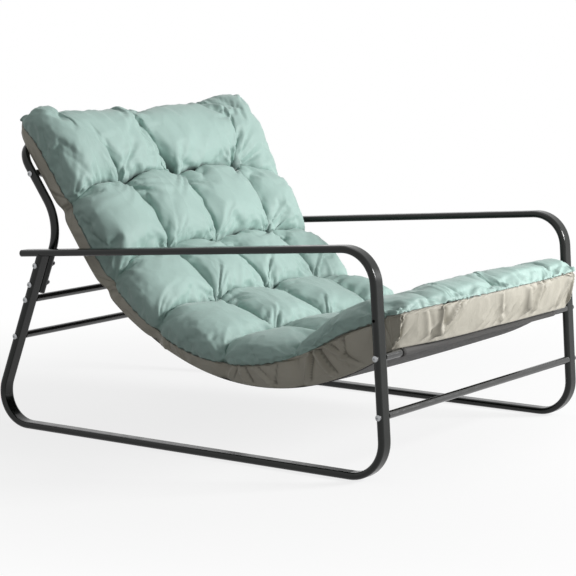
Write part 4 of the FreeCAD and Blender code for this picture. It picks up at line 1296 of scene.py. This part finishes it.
def base_folds(grid, plan, drop, on_side, on_front):
    """Folds of the base panel under its side pinches and its front pleats."""
    draw = np.random.default_rng(12)
    x, s = plan[..., 0], plan[..., 1]
    made = np.zeros_like(x)
    for edge in (-1, 1):
        near = on_side * (np.sign(x) == edge)
        for place in grid.row_places:
            made += near * pleats(s - place, drop, SIDE_PLEATS, PLEAT_REACH)
        made += near * gathers(s, drop, draw, (0, grid.total), *BASE_SIDE)
    made += on_front * pleats(x, drop, FRONT_PLEATS, PLEAT_REACH)
    made += on_front * pleats(x, grid.seam_height(x, s) - drop, FRONT_FEET, FOOT_REACH)
    made += on_front * gathers(x, drop, draw, (-grid.half, grid.half), *BASE_FRONT)
    return made


# Where the top panel's folds start off the seam, at the sides and at the ends
SIDE_CALM = (0.0, 0.14)
END_CALM = (0.0, 0.34)
# Where the base panel's folds start under the seam and stop over the foot
FOLD_START = (0.0, 0.12)
FOLD_STOP = (0.75, 1.0)
# Seam height from which the base panel's folds are full, and how fast they grow up to it
FULL_BAND = 0.06
BAND_POWER = 1.5
# Membrane inside the cushion: places from the middle, height on the back, rise and its length
CORE_SIDES = (-0.2, 0.2)
CORE_BACK = 0.026
CORE_RISE = 0.054
CORE_RISE_LENGTH = 0.12
# Distance from the seam that one step of the finer grid stands for, for the width of the shade line
# painted along the seam
SEAM_STEP = 0.003


def pleated(grid, lines, side, end, low):
    """Folds of the base panel between the seam and its foot, as heights."""
    x, s = lines[..., 0], lines[..., 1]
    seam = grid.seam_height(x, s)
    on_front = (end <= side) & (s > grid.total / 2)
    band = np.clip(seam / FULL_BAND, 0, 1) ** BAND_POWER
    loose = smooth_step(low, *FOLD_START) * (1 - smooth_step(low, *FOLD_STOP))
    return base_folds(grid, lines, seam * low, side < end, on_front) * band * loose


def membrane(grid, s):
    """Two lines of points inside the cushion, which both covers are closed with."""
    rise = smooth_step(s, grid.total - CORE_RISE_LENGTH, grid.total)
    height = CORE_BACK + CORE_RISE * rise
    return [grid.under.lift(np.full(len(s), x), s, height) for x in CORE_SIDES]


def steps_inside(shape):
    """Steps of the grid from each point to the nearest edge."""
    rows, columns = (np.minimum(np.arange(count), np.arange(count)[::-1]) for count in shape)
    return np.minimum(rows[:, None], columns[None, :])


def close_panel(panel, core):
    """Vertices and closing faces of one panel, with a membrane inside the cushion."""
    rows, columns = panel.shape[:2]
    numbers = np.arange(rows * columns).reshape(rows, columns)
    inner = rows * columns + np.arange(2 * (rows - 2)).reshape(2, rows - 2)
    near, far = numbers[1:-1, 0], numbers[1:-1, -1]
    faces = []
    for low, high in ((near, inner[0]), (inner[0], inner[1]), (inner[1], far)):
        for k in range(rows - 3):
            faces.append([low[k], high[k], high[k + 1], low[k + 1]])
    faces.append([*numbers[0, :], far[0], inner[1][0], inner[0][0], near[0]])
    faces.append([*numbers[-1, ::-1], near[-1], inner[0][-1], inner[1][-1], far[-1]])
    return np.concatenate([panel.reshape(-1, 3), core[0], core[1]]), faces


class CHAIR_OT_fill_cushion(bpy.types.Operator):
    """Sew, tuft and fill the two-colour cushion"""

    bl_idname = "chair.fill_cushion"
    bl_label = "Fill cushion"

    def execute(self, context):
        grid = CushionGrid()
        top, base, plan = filled_panels(grid)
        lines = finer(np.stack(np.meshgrid(grid.x, grid.s), -1))
        side, end = (finer(share[..., None])[..., 0] for share in grid.shares())
        low = np.clip(np.minimum(side, end), 0, 1)
        calm = smooth_step(side, *SIDE_CALM) * smooth_step(end, *END_CALM)
        top = top + outward(top, False) * (top_folds(grid, plan, lines) * calm)[..., None]
        top, crease = sharpened(grid, top, lines, low)
        folds = pleated(grid, lines, side, end, low)
        base = base + outward(base, True) * folds[..., None]
        # Shade painted into the dips of the base panel's pleats
        pleat = np.clip(-folds / PLEAT_SHADE, 0, PLEAT_DARKEST)

        core = membrane(grid, lines[1:-1, 0, 1])
        flat = lines.reshape(-1, 2)
        gap = SEAM_STEP * steps_inside(low.shape).ravel()
        # Piece, its points and the shade painted on them, node, slot, colour, share of it in the shade
        # line painted along the seam, facing
        panels = (
            ("cushion_cover_top", top, crease, "cushion_top", "cushion_mint", "mint", 0.30, False),
            ("cushion_cover_base", base, pleat, "cushion_base", "cushion_taupe", "taupe", 0.35, True),
        )
        for name, panel, dark, node, slot, tint, seam_shade_share, turned in panels:
            points, closing = close_panel(panel, core)
            skin = grid_faces(*low.shape).tolist()
            if turned:
                closing = [face[::-1] for face in closing]
            else:
                skin = [face[::-1] for face in skin]
            cloth = cushion_cloth(name + "_cloth", tint, seam_shade_share)
            piece = new_piece(name, points, skin + closing, cloth)
            extra = len(points) - len(flat)
            lay_flat(piece, np.concatenate([flat, np.zeros((extra, 2))]))
            soft_value(piece, "seam_gap", np.concatenate([gap, np.ones(extra)]))
            soft_value(piece, "crease", np.concatenate([dark.ravel(), np.zeros(extra)]))
            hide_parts(node)
            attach(piece, CUSHION_BODY)
        return {"FINISHED"}


# The frame's finishes


class CHAIR_OT_coat_frame(bpy.types.Operator):
    """Powder-coat the side frames and the back frame, and enamel the cross bars"""

    bl_idname = "chair.coat_frame"
    bl_label = "Coat frame"

    def execute(self, context):
        coat = coated_steel("powder_coat", "coat", roughness=0.21, peel=0.01, gloss=0.34, wear=0.15)
        enamel = coated_steel("satin_enamel", "bar", roughness=0.17, peel=0.003, gloss=0.9, wear=0.02)
        plastic = moulded_plastic("black_moulding")
        for node in ("right_side_frame", "left_side_frame", "back_frame"):
            dress(node, coat)
        for node in ("front_sling_bar", "back_sling_bar", "front_stretcher", "rear_upper_stretcher",
                     "rear_lower_stretcher"):
            dress(node, enamel)
        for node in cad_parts:
            if node.endswith(("_cap", "_plug", "washers")):
                dress(node, plastic)
        return {"FINISHED"}


class CHAIR_OT_plate_fasteners(bpy.types.Operator):
    """Give the bolts, nuts and inserts their zinc plating"""

    bl_idname = "chair.plate_fasteners"
    bl_label = "Plate fasteners"

    def execute(self, context):
        zinc = plated_steel("bright_zinc")
        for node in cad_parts:
            if node.endswith(("_bolts", "_nuts", "_inserts")):
                dress(node, zinc)
        return {"FINISHED"}


# Stage

# Camera: its place, its axes, and the lens and sensor in millimetres
EYE = Vector((-3.805, -2.6409, 0.9673))
RIGHTWARD = Vector((0.57283, -0.81968, 0.0))
AHEAD = Vector((0.81146, 0.56708, -0.14130))
LENS = 129.3
SENSOR = 36.0
# Half the floor, its own shade as other surfaces get it, and how white the camera sees it, near to far
FLOOR_HALF = 12.0
FLOOR_SHADE = 0.4
FLOOR_FADE = (0.7, 1.8)
FLOOR_WHITE = (0.80, 1.0)
# Light of the surrounding room on the chair
ROOM_LIGHT = 0.25
# Lamps: name, place, width and power, and what they point at
LAMPS = (
    ("key", (1.5, -2.65, 1.45), 0.95, 117.0),
    ("overhead", (0.6, 0.2, 3.4), 1.5, 8.0),
    ("fill", (-3.2, -1.6, 2.0), 2.0, 3.0),
)
LAMP_TARGET = (0.0, 0.0, 0.35)


def aim(thing, eye, target):
    """Puts a lamp at a place and turns it to another."""
    thing.location = eye
    thing.rotation_euler = (Vector(target) - Vector(eye)).to_track_quat("-Z", "Y").to_euler()


def seen_rays(tree):
    """1 for rays of the camera, of gloss and of glass, 0 for the rest."""
    path = tree.nodes.new("ShaderNodeLightPath")
    seen = path.outputs["Is Camera Ray"]
    for ray in ("Is Glossy Ray", "Is Transmission Ray"):
        either = tree.nodes.new("ShaderNodeMath")
        either.operation = "MAXIMUM"
        tree.links.new(seen, either.inputs[0])
        tree.links.new(path.outputs[ray], either.inputs[1])
        seen = either.outputs[0]
    return seen


class CHAIR_OT_set_stage(bpy.types.Operator):
    """Set the floor, the soft studio light and the camera"""

    bl_idname = "chair.set_stage"
    bl_label = "Set stage"

    def execute(self, context):
        scene = context.scene
        scene.view_settings.view_transform = "Standard"
        self.set_camera(scene)
        self.lay_floor()
        self.set_lights(scene)
        return {"FINISHED"}

    def set_camera(self, scene):
        ahead = AHEAD.normalized()
        up = RIGHTWARD.cross(ahead).normalized()
        right = ahead.cross(up)
        lens = bpy.data.cameras.new("photo_camera")
        lens.sensor_width = SENSOR
        lens.lens = LENS
        camera = bpy.data.objects.new("photo_camera", lens)
        camera.matrix_world = Matrix((
            (right.x, up.x, -ahead.x, EYE.x),
            (right.y, up.y, -ahead.y, EYE.y),
            (right.z, up.z, -ahead.z, EYE.z),
            (0, 0, 0, 1)))
        scene.collection.objects.link(camera)
        scene.camera = camera

    def lay_floor(self):
        shader = Shader("pale_floor")
        tree = shader.tree
        seen = seen_rays(tree)
        tint = shader.blend(seen, colour("floor", FLOOR_SHADE), colour("floor"))
        shader.set(Base_Color=tint, Roughness=0.9, Specular_IOR_Level=0.0)
        glow = shader.add("ShaderNodeEmission", {"Color": (1, 1, 1, 1), "Strength": 1.0})
        place = shader.add("ShaderNodeVectorMath", {0: shader.object_place()}, operation="LENGTH")
        far = shader.ramp(place.outputs["Value"], *FLOOR_FADE, *FLOOR_WHITE)
        mixed = shader.add("ShaderNodeMixShader", {
            0: shader.math("MULTIPLY", seen, far), 1: shader.body, 2: glow})
        out = next(n for n in tree.nodes if n.type == "OUTPUT_MATERIAL")
        shader.feed(out.inputs[0], mixed)
        edge = FLOOR_HALF
        corners = [(-edge, -edge, 0), (edge, -edge, 0), (edge, edge, 0), (-edge, edge, 0)]
        floor = new_piece("studio_floor", corners, [(0, 1, 2, 3)], shader.material)

    def set_lights(self, scene):
        world = bpy.data.worlds.new("studio")
        world.use_nodes = True
        tree = world.node_tree
        back = next(n for n in tree.nodes if n.type == "BACKGROUND")
        back.inputs["Color"].default_value = (1.0, 1.0, 1.0, 1.0)
        level = tree.nodes.new("ShaderNodeMapRange")
        level.inputs["To Min"].default_value = ROOM_LIGHT
        level.inputs["To Max"].default_value = 1.0
        tree.links.new(seen_rays(tree), level.inputs["Value"])
        tree.links.new(level.outputs[0], back.inputs["Strength"])
        scene.world = world
        for name, eye, width, power in LAMPS:
            lamp = bpy.data.lights.new(name, "AREA")
            lamp.shape = "SQUARE"
            lamp.size = width
            lamp.energy = power
            thing = bpy.data.objects.new(name, lamp)
            aim(thing, eye, LAMP_TARGET)
            scene.collection.objects.link(thing)


class CHAIR_PT_panel(bpy.types.Panel):
    """Sizes, colours and steps of the chair"""

    bl_idname = "CHAIR_PT_panel"
    bl_label = "Lounge chair"
    bl_space_type = "VIEW_3D"
    bl_region_type = "UI"
    bl_category = "Lounge chair"

    def draw(self, context):
        for group in GROUPS:
            box = self.layout.box()
            held = getattr(context.scene, group)
            for name in held.bl_rna.properties.keys():
                if name not in ("rna_type", "name"):
                    box.prop(held, name)
        for step in STEPS:
            self.layout.operator(step.bl_idname)


GROUPS = {"sling_sizes": SlingSizes, "cushion_sizes": CushionSizes, "chair_colours": ChairColours}
STEPS = (CHAIR_OT_coat_frame, CHAIR_OT_plate_fasteners, CHAIR_OT_hang_sling, CHAIR_OT_fill_cushion,
         CHAIR_OT_set_stage)
CLASSES = tuple(GROUPS.values()) + STEPS + (CHAIR_PT_panel,)


def register():
    for item in CLASSES:
        bpy.utils.register_class(item)
    for name, group in GROUPS.items():
        setattr(bpy.types.Scene, name, bpy.props.PointerProperty(type=group))


def unregister():
    for name in GROUPS:
        delattr(bpy.types.Scene, name)
    for item in reversed(CLASSES):
        bpy.utils.unregister_class(item)


def main():
    register()
    bpy.ops.chair.coat_frame()
    bpy.ops.chair.plate_fasteners()
    bpy.ops.chair.hang_sling()
    bpy.ops.chair.fill_cushion()
    bpy.ops.chair.set_stage()


if __name__ == "__main__":
    main()
